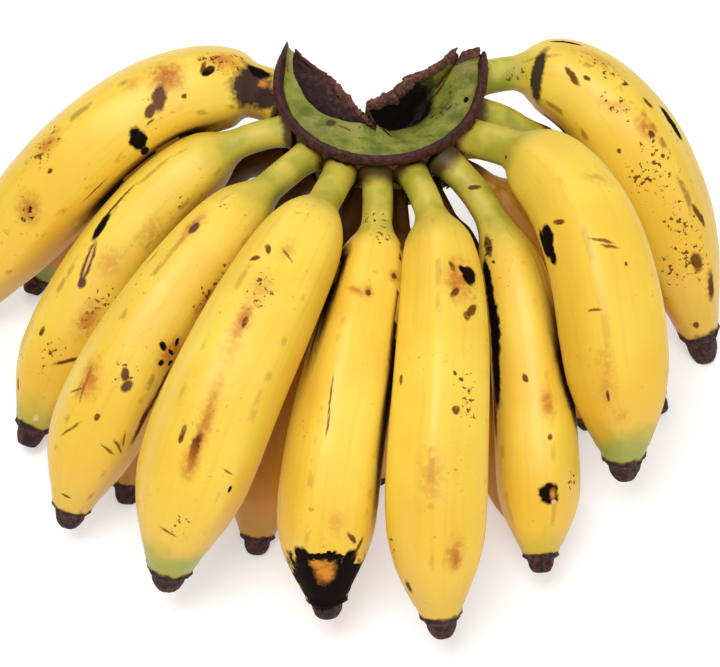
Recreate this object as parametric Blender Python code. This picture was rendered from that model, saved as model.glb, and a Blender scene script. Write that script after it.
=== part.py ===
"""A hand of ripe dessert bananas lying on a surface: one cut crown with two rows of fingers.

Units are metres, +Z is up, and the tips of the outer row point towards -Y.
The tables below are in millimetres, measured from the middle of the crown at the level of the surface.
"""

import math
from typing import NamedTuple

import bmesh
import bpy
from mathutils import Quaternion, Vector

MM = 0.001
CENTRE_X = 17.3
CENTRE_Y = 74.0
GAP = 0.35

# The crown: a crescent block with a raised rim and a cut face that is scooped out on the right
WALL_RADIUS = 32.5
WALL_BOTTOM = 57.0
WALL_TOP = 84.5
RIM_TOP = 89.5
RIM_WIDTH = 3.2
LEFT_END = -114.0
RIGHT_END = 113.0
CROWN_STEPS = 34
# bearing in degrees from the front, outer rim radius
RIM_RADIUS = ((-114, 34.5), (-60, 35.0), (80, 35.5), (96, 36.5), (113, 38.0))
# bearing, radius of the torn back edge
BACK_RADIUS = (
    (-114, 30.0), (-106, 20.5), (-96, 15.5), (-85, 13.0), (-60, 11.0), (-40, 10.8),
    (-24, 12.8), (-12, 15.5), (-5, 8.0), (20, 6.0), (66, 7.4), (88, 8.5), (98, 14.0),
    (105, 19.0), (113, 26.0),
)
# bearing, height of the torn back edge
BACK_TOP = ((-114, 88.5), (-70, 87.0), (-20, 84.5), (-10, 84.5), (0, 87.0), (70, 90.0), (113, 90.5))
# bearing, depth of the scoop below the rim
SCOOP = ((-114, 1.5), (-80, 5.0), (-30, 6.0), (0, 11.0), (30, 17.0), (75, 17.0), (100, 8.0), (113, 3.0))
FLAP_THICKNESS = 3.2

# The fingers: five blunt ridges run along each one
SIDES = 15
RIDGES = 5
RIDGE_HEIGHT = 0.028
SHAPE_NECK = 0.20
SHAPE_BELLY = 0.72
RINGS = (
    0.0, 0.05, 0.10, 0.13, 0.16, 0.19, 0.22, 0.28, 0.38, 0.50, 0.62, 0.72,
    0.79, 0.85, 0.90, 0.935, 0.955, 0.964, 0.985, 1.0,
)
NECK_FLARE = 0.10
# share of the length, share of the girth gained behind the neck
SWELL = (
    (0.0, 0.0), (0.13, 0.0), (0.16, 0.10), (0.19, 0.34), (0.22, 0.53), (0.28, 0.69),
    (0.38, 0.81), (0.52, 0.92), (0.65, 0.985), (0.72, 1.0),
)
# share of the length, share of the girth left towards the tip
TAPER = (
    (0.72, 1.0), (0.78, 0.95), (0.84, 0.77), (0.885, 0.52), (0.925, 0.27), (0.945, 0.15),
    (0.955, 0.11), (0.964, -0.02), (0.985, -0.08), (1.0, -0.18),
)
TIP_SHARE = 0.34
# size of the ring inside the root's end face, which follows the round wall
CAP_SHARE = 0.5


class Finger(NamedTuple):
    """One banana: where its neck leaves the crown, two guide points, its tip, and its girths."""

    name: str
    bearing: float
    root_z: float
    rise: tuple
    fall: tuple
    tip: tuple
    girth: float
    neck_girth: float = 10.0
    neck: float = 0.20
    belly: float = 0.72
    roll: float = 0.0


FINGERS = (
    Finger(
        "outer_finger_1", -95, 73.5, (-62, 18, 81), (-100, -15, 84), (-149, -40, 1.0),
        34.0, 18.0, neck=0.10, belly=0.52, roll=10,
    ),
    Finger(
        "outer_finger_2", -64.4, 78, (-62, -13.2, 76.7), (-96, -43, 49), (-118, -90, 6),
        29.5, neck=0.19, roll=20,
    ),
    Finger(
        "outer_finger_3", -43, 78, (-46, -50, 87), (-89, -100, 66), (-101, -125, 13),
        31.0, neck=0.20, roll=5,
    ),
    Finger(
        "outer_finger_4", -22, 77.5, (-21.3, -73, 101), (-57, -132, 91), (-67, -152, 21),
        36.5, 10.5, belly=0.68,
    ),
    Finger(
        "outer_finger_5", -1.2, 78, (3.6, -76, 79), (-21, -127, 67), (-16, -162, 19),
        31.5, 9.8, belly=0.75,
    ),
    Finger("outer_finger_6", 18.5, 78, (31, -79, 91), (11, -138, 78), (20, -169, 20), 31.5, 9.8, roll=12),
    Finger(
        "outer_finger_7", 39, 78, (51, -46, 69), (49, -99, 50), (52, -145, 17),
        27.0, neck=0.26, belly=0.78, roll=18,
    ),
    Finger(
        "outer_finger_8", 61.5, 76.5, (75, -36, 93), (72, -91, 91), (80, -114, 25),
        34.0, 12.5, neck=0.19, belly=0.64,
    ),
    Finger(
        "outer_finger_9", 106, 76.5, (80, 29, 79), (94, -28, 70), (114, -51, 0.4),
        34.0, 11.5, neck=0.16, belly=0.50, roll=8,
    ),
    Finger("inner_finger_1", -68, 64, (-69, -8, 46), (-112, 3, 20), (-122, -24, 1.6), 25.5),
    Finger("inner_finger_2", -46, 65, (-47, -37, 58), (-79, -80, 28), (-84, -110, 1.4), 27.0, roll=10),
    Finger("inner_finger_3", -12, 65, (-14, -61, 60), (-38, -93, 38), (-40, -129, 1.0), 27.0, neck=0.17),
    Finger(
        "inner_finger_4", 8, 65, (9, -65, 61), (-1, -88, 38), (0, -101, 0.3),
        26.5, neck=0.17, roll=15,
    ),
    Finger(
        "inner_finger_5", 28.5, 65, (31.6, -52, 57), (33, -83, 21), (54, -129, 1.7),
        22.2, 10.5, neck=0.14,
    ),
    Finger("inner_finger_6", 51.4, 65, (50.5, -23, 59), (60, -58, 31), (72, -80, 1.0), 25.0, neck=0.17, roll=6),
    Finger("inner_finger_7", 84.3, 75, (66, 0, 69), (73, -30, 14), (97, -75, 3.0), 23.0),
)


def clear_scene():
    """Remove every object of the startup scene."""
    for obj in list(bpy.data.objects):
        bpy.data.objects.remove(obj, do_unlink=True)


def value_at(table, x):
    """Read a table of pairs at x, with straight lines between its entries."""
    if x <= table[0][0]:
        return table[0][1]
    for (x0, y0), (x1, y1) in zip(table, table[1:]):
        if x <= x1:
            return y0 + (y1 - y0) * (x - x0) / (x1 - x0)
    return table[-1][1]


def shape_station(finger, t):
    """Map a share of this finger's length to the share used by the common tables."""
    knots = ((0.0, 0.0), (finger.neck, SHAPE_NECK), (finger.belly, SHAPE_BELLY), (1.0, 1.0))
    return value_at(knots, t)


def length_station(finger, u):
    """The inverse of shape_station."""
    knots = ((0.0, 0.0), (SHAPE_NECK, finger.neck), (SHAPE_BELLY, finger.belly), (1.0, 1.0))
    return value_at(knots, u)


def radius_at(finger, u):
    """Mean radius in millimetres at one of the common stations."""
    body = finger.girth / 2
    if u < SHAPE_BELLY:
        neck = finger.neck_girth / 2 * (1 + NECK_FLARE * max(0.0, 1 - u / 0.05))
        return neck + (body - neck) * value_at(SWELL, u)
    tip = body * TIP_SHARE
    return tip + (body - tip) * value_at(TAPER, u)


def centreline(finger, samples=240):
    """Points along the finger and the running length, both in millimetres."""
    angle = math.radians(finger.bearing)
    start = WALL_RADIUS + GAP
    p0 = Vector((start * math.sin(angle), -start * math.cos(angle), finger.root_z))
    p1, p2, p3 = Vector(finger.rise), Vector(finger.fall), Vector(finger.tip)
    points = []
    for i in range(samples + 1):
        s = i / samples
        r = 1 - s
        points.append(p0 * r**3 + p1 * (3 * r * r * s) + p2 * (3 * r * s * s) + p3 * s**3)
    lengths = [0.0]
    for a, b in zip(points, points[1:]):
        lengths.append(lengths[-1] + (b - a).length)
    return points, lengths


def frames_along(finger, stations):
    """Position, forward, side and up directions at each station, with no twist between them."""
    points, lengths = centreline(finger)
    frames = []
    forward_before = None
    up = Vector((0, 0, 1))
    for t in stations:
        goal = t * lengths[-1]
        i = 0
        while i < len(lengths) - 2 and lengths[i + 1] < goal:
            i += 1
        span = lengths[i + 1] - lengths[i]
        place = points[i].lerp(points[i + 1], (goal - lengths[i]) / span)
        forward = (points[i + 1] - points[i]).normalized()
        if forward_before is not None:
            up = forward_before.rotation_difference(forward) @ up
        up = (up - forward * up.dot(forward)).normalized()
        frames.append((place, forward, forward.cross(up), up.copy()))
        forward_before = forward
    return frames


def meet_wall(point, direction):
    """Slide a point along a direction until it lies on the crown's wall plus the gap."""
    radius = WALL_RADIUS + GAP
    a = direction.x**2 + direction.y**2
    b = point.x * direction.x + point.y * direction.y
    c = point.x**2 + point.y**2 - radius**2
    root = math.sqrt(max(0.0, b * b - a * c))
    slide = min(((-b + root) / a, (-b - root) / a), key=abs)
    return point + direction * slide


def to_scene(point):
    """Millimetres from the crown's middle to metres in the shared frame."""
    return Vector((point.x + CENTRE_X, point.y + CENTRE_Y, point.z)) * MM


def new_object(name, bm, colour, roughness):
    """Make an object with its own material from a finished mesh."""
    bmesh.ops.recalc_face_normals(bm, faces=bm.faces)
    mesh = bpy.data.meshes.new(name)
    bm.to_mesh(mesh)
    bm.free()
    material = bpy.data.materials.new(name)
    material.use_nodes = True
    shader = material.node_tree.nodes["Principled BSDF"]
    shader.inputs["Base Color"].default_value = (*colour, 1.0)
    shader.inputs["Roughness"].default_value = roughness
    mesh.materials.append(material)
    obj = bpy.data.objects.new(name, mesh)
    bpy.context.scene.collection.objects.link(obj)
    return obj


def flatten_underside(bm):
    """Cut away what lies below the surface and close the cut with one flat face."""
    if min(v.co.z for v in bm.verts) >= 0:
        return
    geometry = bm.verts[:] + bm.edges[:] + bm.faces[:]
    cut = bmesh.ops.bisect_plane(
        bm, geom=geometry, plane_co=(0, 0, 0), plane_no=(0, 0, -1), clear_outer=True, dist=1e-7
    )
    edges = [e for e in cut["geom_cut"] if isinstance(e, bmesh.types.BMEdge)]
    bmesh.ops.edgeloop_fill(bm, edges=edges)


def ring_points(finger, frame, u, share=1.0):
    """One ridged ring round the finger, in millimetres; a ring at the root lies on the crown's wall."""
    place, forward, side, up = frame
    radius = radius_at(finger, u) * share
    ridge = RIDGE_HEIGHT * min(1.0, u / SHAPE_NECK)
    if u > 0.96:
        ridge = 0.0
    points = []
    for k in range(SIDES):
        angle = 2 * math.pi * k / SIDES
        wave = 1 + ridge * math.cos(RIDGES * angle)
        turned = angle + math.radians(finger.roll)
        point = place + (side * math.cos(turned) + up * math.sin(turned)) * radius * wave
        if u == 0.0:
            point = meet_wall(point, forward)
        points.append(point)
    return points


def build_finger(finger):
    """Loft the ridged rings of one banana from its neck to its dry end."""
    bm = bmesh.new()
    frames = frames_along(finger, [length_station(finger, u) for u in RINGS])
    outlines = [ring_points(finger, frames[0], 0.0, CAP_SHARE)]
    for u, frame in zip(RINGS, frames):
        outlines.append(ring_points(finger, frame, u))
    rings = [[bm.verts.new(to_scene(point)) for point in outline] for outline in outlines]
    for low, high in zip(rings, rings[1:]):
        for k in range(SIDES):
            n = (k + 1) % SIDES
            bm.faces.new((low[k], low[n], high[n], high[k]))
    hub = bm.verts.new(to_scene(meet_wall(frames[0][0], frames[0][1])))
    for k in range(SIDES):
        bm.faces.new((hub, rings[0][(k + 1) % SIDES], rings[0][k]))
    bm.faces.new(rings[-1])
    flatten_underside(bm)
    bmesh.ops.triangulate(bm, faces=[f for f in bm.faces if len(f.verts) == 4])
    return new_object(finger.name, bm, (0.86, 0.60, 0.10), 0.45)


def crown_section(bearing):
    """Outline of the crown in the upright plane at one bearing, as radius and height."""
    rim = value_at(RIM_RADIUS, bearing)
    back = value_at(BACK_RADIUS, bearing)
    back_top = value_at(BACK_TOP, bearing)
    scoop = value_at(SCOOP, bearing)
    wide = min(1.0, (rim - back) / 18.0)
    inner = rim - RIM_WIDTH * wide
    band = inner - 6.5 * wide
    flap = back + FLAP_THICKNESS * wide
    middle = (band + flap) / 2
    foot = WALL_RADIUS - 4.5 * wide
    floor = RIM_TOP - 4.0
    return (
        (foot, WALL_BOTTOM),
        (WALL_RADIUS, WALL_BOTTOM + 4.0),
        (WALL_RADIUS, WALL_TOP),
        (rim, WALL_TOP + 1.5),
        (rim - 0.4 * wide, RIM_TOP - 1.2),
        (rim - 2.0 * wide, RIM_TOP),
        (inner, RIM_TOP - 1.2),
        (band, floor - scoop * 0.12),
        (middle, floor - scoop * 0.9),
        (flap + 0.3 * wide, floor - scoop * 0.8),
        (back + FLAP_THICKNESS * 0.65 * wide, back_top),
        (back, back_top - 0.8),
        (back + 0.8 * wide, WALL_BOTTOM),
    )


def build_crown():
    """Loft the crescent of the crown round its bearings and close both ends."""
    bm = bmesh.new()
    rings = []
    for i in range(CROWN_STEPS + 1):
        bearing = LEFT_END + (RIGHT_END - LEFT_END) * i / CROWN_STEPS
        angle = math.radians(bearing)
        ring = []
        for radius, height in crown_section(bearing):
            point = Vector((radius * math.sin(angle), -radius * math.cos(angle), height))
            ring.append(bm.verts.new(to_scene(point)))
        rings.append(ring)
    count = len(rings[0])
    for low, high in zip(rings, rings[1:]):
        for k in range(count):
            n = (k + 1) % count
            bm.faces.new((low[k], low[n], high[n], high[k]))
    bm.faces.new(rings[0])
    bm.faces.new(rings[-1])
    bm.normal_update()
    bmesh.ops.triangulate(bm, faces=bm.faces[:])
    return new_object("crown", bm, (0.20, 0.22, 0.07), 0.6)


def main():
    """Build the whole hand."""
    clear_scene()
    build_crown()
    for finger in FINGERS:
        build_finger(finger)


main()
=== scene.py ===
"""The looks of one hand of ripe dessert bananas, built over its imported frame.

Everything is in the frame's metres with +Z up. The sizes of the crown and the fingers are given in
millimetres from the middle of the crown, as they are in the part's source. The photograph's marks are
placed by their pixels: a ray from the camera finds the skin that carries each of them.
"""

import logging
import math
import random
from dataclasses import dataclass, field, replace
from enum import Enum
from typing import NamedTuple

import bmesh
import bpy
from mathutils import Matrix, Vector, noise
from mathutils.bvhtree import BVHTree
from mathutils.geometry import interpolate_bezier


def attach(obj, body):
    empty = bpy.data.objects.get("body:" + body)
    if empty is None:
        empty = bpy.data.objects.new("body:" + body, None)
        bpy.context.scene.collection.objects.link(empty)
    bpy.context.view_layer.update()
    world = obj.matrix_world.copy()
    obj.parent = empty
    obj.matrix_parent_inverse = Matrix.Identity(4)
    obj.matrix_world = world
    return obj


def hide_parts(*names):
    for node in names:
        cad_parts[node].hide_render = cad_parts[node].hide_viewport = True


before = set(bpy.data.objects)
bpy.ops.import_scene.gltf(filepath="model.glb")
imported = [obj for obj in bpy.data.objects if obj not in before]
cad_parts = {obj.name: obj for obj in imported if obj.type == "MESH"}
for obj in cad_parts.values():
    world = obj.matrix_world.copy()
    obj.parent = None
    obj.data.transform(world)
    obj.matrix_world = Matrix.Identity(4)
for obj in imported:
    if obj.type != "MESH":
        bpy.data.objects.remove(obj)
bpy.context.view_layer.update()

LOG = logging.getLogger("bananas")
MM = 0.001

# The crown's middle in the frame, and the wall that the necks grow from
CROWN_MIDDLE = Vector((17.3, 74.0, 0.0))
WALL_RADIUS = 32.5
SKIN_UV = "skin"

# How strongly the crown's outline is rounded at its corners
TENSION = 0.35


def srgb(red: float, green: float, blue: float) -> tuple[float, float, float, float]:
    """Turn a colour on the scale of 0 to 255 into the linear colour that a shader takes.

    Args:
        red: Red from 0 to 255.
        green: Green from 0 to 255.
        blue: Blue from 0 to 255.

    Returns:
        The linear colour with an alpha of one.
    """
    shares = [value / 255 for value in (red, green, blue)]
    linear = [s / 12.92 if s <= 0.04045 else ((s + 0.055) / 1.055) ** 2.4 for s in shares]
    return (*linear, 1.0)


def cubic(start: float, end: float, leave: float, arrive: float, s: float) -> float:
    """Give a value on the cubic curve from start to end.

    Args:
        start: The value where s is 0.
        end: The value where s is 1.
        leave: The slope at the start.
        arrive: The slope at the end.
        s: The place between 0 and 1.

    Returns:
        The value at s.
    """
    return (
        start * (2 * s**3 - 3 * s**2 + 1)
        + end * (3 * s**2 - 2 * s**3)
        + leave * (s**3 - 2 * s**2 + s)
        + arrive * (s**3 - s**2)
    )


def eased(table: tuple, x: float) -> float:
    """Read a table of pairs at x, along a smooth curve that never overshoots its entries.

    Args:
        table: Pairs of (place, value) in rising order of place.
        x: The place to read.

    Returns:
        The value there, held level beyond the ends.
    """
    if x <= table[0][0]:
        return table[0][1]
    if x >= table[-1][0]:
        return table[-1][1]
    i = next(k for k in range(len(table) - 1) if x <= table[k + 1][0])
    (x0, y0), (x1, y1) = table[i], table[i + 1]
    width = x1 - x0
    slope = (y1 - y0) / width
    before = (y0 - table[i - 1][1]) / (x0 - table[i - 1][0]) if i > 0 else slope
    after = (table[i + 2][1] - y1) / (table[i + 2][0] - x1) if i + 2 < len(table) else slope
    start = 2 * before * slope / (before + slope) if before * slope > 0 else 0.0
    end = 2 * after * slope / (after + slope) if after * slope > 0 else 0.0
    return cubic(y0, y1, start * width, end * width, (x - x0) / width)


def curve_through(before: float, start: float, end: float, after: float, share: float) -> float:
    """Give a value between start and end, on a gentle curve through four values in a row.

    Args:
        before: The value before the start.
        start: The value where the share is 0.
        end: The value where the share is 1.
        after: The value after the end.
        share: How far between start and end.

    Returns:
        The value at that share.
    """
    return cubic(start, end, TENSION * (end - before), TENSION * (after - start), share)


def straight(table: tuple, x: float) -> float:
    """Read a table of pairs at x, with straight lines between its entries.

    Args:
        table: Pairs of (place, value) in rising order of place.
        x: The place to read.

    Returns:
        The value there, held level beyond the ends.
    """
    if x <= table[0][0]:
        return table[0][1]
    for (x0, y0), (x1, y1) in zip(table, table[1:]):
        if x <= x1:
            return y0 + (y1 - y0) * (x - x0) / (x1 - x0)
    return table[-1][1]


def to_frame(point: Vector) -> Vector:
    """Turn millimetres from the middle of the crown into metres in the frame."""
    return (point + CROWN_MIDDLE) * MM


@dataclass(frozen=True)
class PhotoCamera:
    """The camera that took the photograph, as far as the picture tells.

    The lens is given for a picture whose long side is its width.
    """

    elevation: float = 55.0
    distance: float = 0.800
    target: Vector = field(default_factory=lambda: to_frame(Vector((-6.0, -68.5, 40.0))))
    lens: float = 121.2
    sensor: float = 36.0
    width: int = 720
    height: int = 667

    def axes(self) -> tuple[Vector, Vector, Vector]:
        """Give the camera's right, up and forward directions.

        Returns:
            The three directions in the frame.
        """
        lift = math.radians(self.elevation)
        forward = Vector((0, math.cos(lift), -math.sin(lift)))
        return Vector((1, 0, 0)), Vector((0, math.sin(lift), math.cos(lift))), forward

    def place(self) -> Vector:
        """Give where the camera stands."""
        return self.target - self.axes()[2] * self.distance

    def ray(self, pixel: tuple[float, float]) -> Vector:
        """Give the direction from the camera through one pixel of the photograph.

        Args:
            pixel: Pixels from the photograph's left and top edges.

        Returns:
            The direction in the frame.
        """
        right, up, forward = self.axes()
        scale = self.sensor / self.lens / self.width
        across = (pixel[0] - self.width / 2) * scale
        upward = (self.height / 2 - pixel[1]) * scale
        return (forward + right * across + up * upward).normalized()

    def build(self) -> bpy.types.Object:
        """Make the camera and set it as the scene's own.

        Returns:
            The camera's object.
        """
        data = bpy.data.cameras.new("photo_camera")
        data.lens = self.lens
        data.sensor_width = self.sensor
        data.clip_start = 0.05
        camera = bpy.data.objects.new("photo_camera", data)
        bpy.context.scene.collection.objects.link(camera)
        right, up, forward = self.axes()
        turn = Matrix((right, up, -forward)).transposed()
        camera.matrix_world = Matrix.Translation(self.place()) @ turn.to_4x4()
        bpy.context.scene.camera = camera
        return camera


class Tree:
    """Adds nodes to one node tree and links them, so that a material reads as a list of steps."""

    def __init__(self, tree: bpy.types.NodeTree) -> None:
        """Keep the tree that the nodes go into."""
        self.tree = tree

    def set(self, socket: bpy.types.NodeSocket, value: object) -> None:
        """Link a socket to another one, or give it a plain value.

        Args:
            socket: The input to set.
            value: An output socket, a number, a colour or a vector.
        """
        if isinstance(value, bpy.types.NodeSocket):
            self.tree.links.new(value, socket)
        elif value is not None:
            socket.default_value = value

    def add(self, kind: str, inputs: dict | None = None, **settings: object) -> bpy.types.Node:
        """Add a node.

        Args:
            kind: The node's type, without the word that all shader nodes begin with.
            inputs: Values or sockets by input name or number.
            settings: The node's own properties.

        Returns:
            The new node.
        """
        node = self.tree.nodes.new("ShaderNode" + kind)
        for name, value in settings.items():
            setattr(node, name, value)
        for name, value in (inputs or {}).items():
            self.set(node.inputs[name], value)
        return node

    def math(
        self, operation: str, a: object, b: object = None, c: object = None, clamp: bool = False
    ) -> bpy.types.NodeSocket:
        """Add a Math node and give its result."""
        return self.add("Math", {0: a, 1: b, 2: c}, operation=operation, use_clamp=clamp).outputs[0]

    def vector(self, operation: str, a: object, b: object = None) -> bpy.types.Node:
        """Add a Vector Math node."""
        return self.add("VectorMath", {0: a, 1: b}, operation=operation)

    def mix(self, share: object, a: object, b: object, blend: str = "MIX") -> bpy.types.NodeSocket:
        """Mix two colours and give the result.

        Args:
            share: How much of the second colour shows, from 0 to 1.
            a: The first colour.
            b: The second colour.
            blend: Blender's name for the way to mix.

        Returns:
            The output that holds the mixed colour.
        """
        node = self.add("Mix", data_type="RGBA", blend_type=blend)
        self.set(node.inputs["Factor"], share)
        self.set(node.inputs[6], a)
        self.set(node.inputs[7], b)
        return node.outputs[2]

    def blend(self, share: object, a: object, b: object) -> bpy.types.NodeSocket:
        """Mix two numbers and give the result.

        Args:
            share: How much of the second number counts, from 0 to 1.
            a: The first number.
            b: The second number.

        Returns:
            The output that holds the mixed number.
        """
        node = self.add("Mix", data_type="FLOAT")
        self.set(node.inputs["Factor"], share)
        self.set(node.inputs[2], a)
        self.set(node.inputs[3], b)
        return node.outputs[0]

    def step(
        self, value: object, low: object, high: object, start: float = 0.0, end: float = 1.0
    ) -> bpy.types.NodeSocket:
        """Ease from start to end as a value goes from low to high.

        Args:
            value: The value that decides.
            low: The value where the easing begins.
            high: The value where it is over.
            start: The result up to low.
            end: The result from high on.

        Returns:
            The output that holds the result.
        """
        node = self.add(
            "MapRange",
            {"Value": value, "From Min": low, "From Max": high, "To Min": start, "To Max": end},
            interpolation_type="SMOOTHSTEP",
        )
        return node.outputs[0]

    def noise(
        self, vector: object, scale: float, detail: float = 2.0, rough: float = 0.5
    ) -> bpy.types.NodeSocket:
        """Add a Noise Texture and give its value.

        Args:
            vector: The place to read it at.
            scale: Its scale per metre.
            detail: How many finer layers it has.
            rough: How strong the finer layers are.

        Returns:
            The output that holds the value, from 0 to 1.
        """
        node = self.add(
            "TexNoise", {"Vector": vector, "Scale": scale, "Detail": detail, "Roughness": rough}
        )
        return node.outputs["Fac"]

    def object_place(self) -> bpy.types.NodeSocket:
        """Give the point's place in the frame."""
        return self.add("TexCoord").outputs["Object"]

    def group(self, tree: bpy.types.NodeTree, **inputs: object) -> bpy.types.Node:
        """Place a node group; underscores in the names of its inputs stand for spaces.

        Args:
            tree: The group's tree.
            inputs: The values or outputs for its inputs.

        Returns:
            The node that holds the group.
        """
        node = self.add("Group")
        node.node_tree = tree
        for name, value in inputs.items():
            self.set(node.inputs[name.replace("_", " ")], value)
        return node


@dataclass(frozen=True)
class Socket:
    """One input or output of a node group."""

    name: str
    kind: str
    value: object = None


class EffectGroup:
    """A shader node group that is built once and shared by the materials."""

    name = "effect"
    inputs: tuple[Socket, ...] = ()
    outputs: tuple[Socket, ...] = ()

    def tree(self) -> bpy.types.NodeTree:
        """Give the group's tree, and build it the first time.

        Returns:
            The group's tree.
        """
        made = bpy.data.node_groups.get(self.name)
        if made:
            return made
        tree = bpy.data.node_groups.new(self.name, "ShaderNodeTree")
        for way, sockets in (("INPUT", self.inputs), ("OUTPUT", self.outputs)):
            for socket in sockets:
                item = tree.interface.new_socket(
                    socket.name, in_out=way, socket_type="NodeSocket" + socket.kind
                )
                if socket.value is not None:
                    item.default_value = socket.value
        self.fill(Tree(tree), tree.nodes.new("NodeGroupInput"), tree.nodes.new("NodeGroupOutput"))
        return tree

    def fill(self, t: Tree, given: bpy.types.Node, result: bpy.types.Node) -> None:
        """Add the group's nodes. Each kind of group has its own.

        Args:
            t: The group's tree.
            given: The node that holds the inputs.
            result: The node that takes the outputs.
        """
        raise NotImplementedError


class GrainGroup(EffectGroup):
    """The fine patterns that all marks of one skin share."""

    name = "skin grain"
    outputs = (Socket("Warp", "Vector"), Socket("Speck", "Float"), Socket("Blotch", "Float"))

    def fill(self, t: Tree, given: bpy.types.Node, result: bpy.types.Node) -> None:
        """Add the noises: one that tears edges, one for specks and one for blotches.

        Args:
            t: The helper for the group's tree.
            given: The node of the group's inputs; not used.
            result: The node of the group's outputs.
        """
        place = t.object_place()
        warp = t.add("TexNoise", {"Vector": place, "Scale": 380.0, "Detail": 3.0, "Roughness": 0.6})
        pull = t.vector("SUBTRACT", warp.outputs["Color"], (0.5, 0.5, 0.5)).outputs[0]
        t.set(result.inputs["Warp"], pull)
        t.set(result.inputs["Speck"], t.noise(place, 560.0, 3.0, 0.6))
        t.set(result.inputs["Blotch"], t.noise(place, 420.0, 3.0, 0.65))


class MarkGroup(EffectGroup):
    """The mask of one mark on the skin: an oval with a torn edge, whole, blotchy or broken into specks."""

    name = "skin mark"
    inputs = (
        Socket("Warp", "Vector"),
        Socket("Speck", "Float"),
        Socket("Blotch", "Float"),
        Socket("Centre", "Vector"),
        Socket("Along", "Vector"),
        Socket("Length", "Float", 0.004),
        Socket("Width", "Float", 0.003),
        Socket("Softness", "Float", 0.2),
        Socket("Ragged", "Float", 0.5),
        Socket("Broken", "Float", 0.0),
        Socket("Blotchy", "Float", 0.0),
        Socket("Strength", "Float", 1.0),
    )
    outputs = (Socket("Mask", "Float"),)

    def fill(self, t: Tree, given: bpy.types.Node, result: bpy.types.Node) -> None:
        """Add the nodes that turn the distance from the mark's middle into its mask.

        Args:
            t: The helper for the group's tree.
            given: The node of the group's inputs.
            result: The node of the group's outputs.
        """
        inp = given.outputs
        reach = t.math("MULTIPLY", inp["Ragged"], inp["Width"])
        pull = t.add("VectorMath", {0: inp["Warp"], "Scale": reach}, operation="SCALE").outputs[0]
        offset = t.vector("SUBTRACT", t.object_place(), inp["Centre"]).outputs[0]
        offset = t.vector("ADD", offset, pull).outputs[0]
        run = t.vector("DOT_PRODUCT", offset, inp["Along"]).outputs["Value"]
        line = t.add("VectorMath", {0: inp["Along"], "Scale": run}, operation="SCALE").outputs[0]
        side = t.vector("LENGTH", t.vector("SUBTRACT", offset, line).outputs[0]).outputs["Value"]
        lengthwise = t.math("DIVIDE", run, inp["Length"])
        sideways = t.math("DIVIDE", side, inp["Width"])
        both = t.math("ADD", t.math("POWER", lengthwise, 2.0), t.math("POWER", sideways, 2.0))
        edge = t.math("SUBTRACT", t.math("ADD", 1.0, inp["Softness"]), t.math("SQRT", both))
        whole = t.math("DIVIDE", edge, t.math("MULTIPLY", inp["Softness"], 2.0), clamp=True)
        specks = t.step(t.math("MULTIPLY_ADD", whole, 0.13, inp["Speck"]), 0.655, 0.70)
        specks = t.math("MULTIPLY", specks, t.math("MULTIPLY", whole, 6.0, clamp=True))
        blotches = t.step(t.math("MULTIPLY_ADD", whole, 0.22, inp["Blotch"]), 0.52, 0.70)
        full = t.blend(inp["Broken"], whole, specks)
        full = t.math("MULTIPLY", full, t.blend(inp["Blotchy"], 1.0, blotches))
        t.set(result.inputs["Mask"], t.math("MULTIPLY", full, inp["Strength"]))


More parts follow.
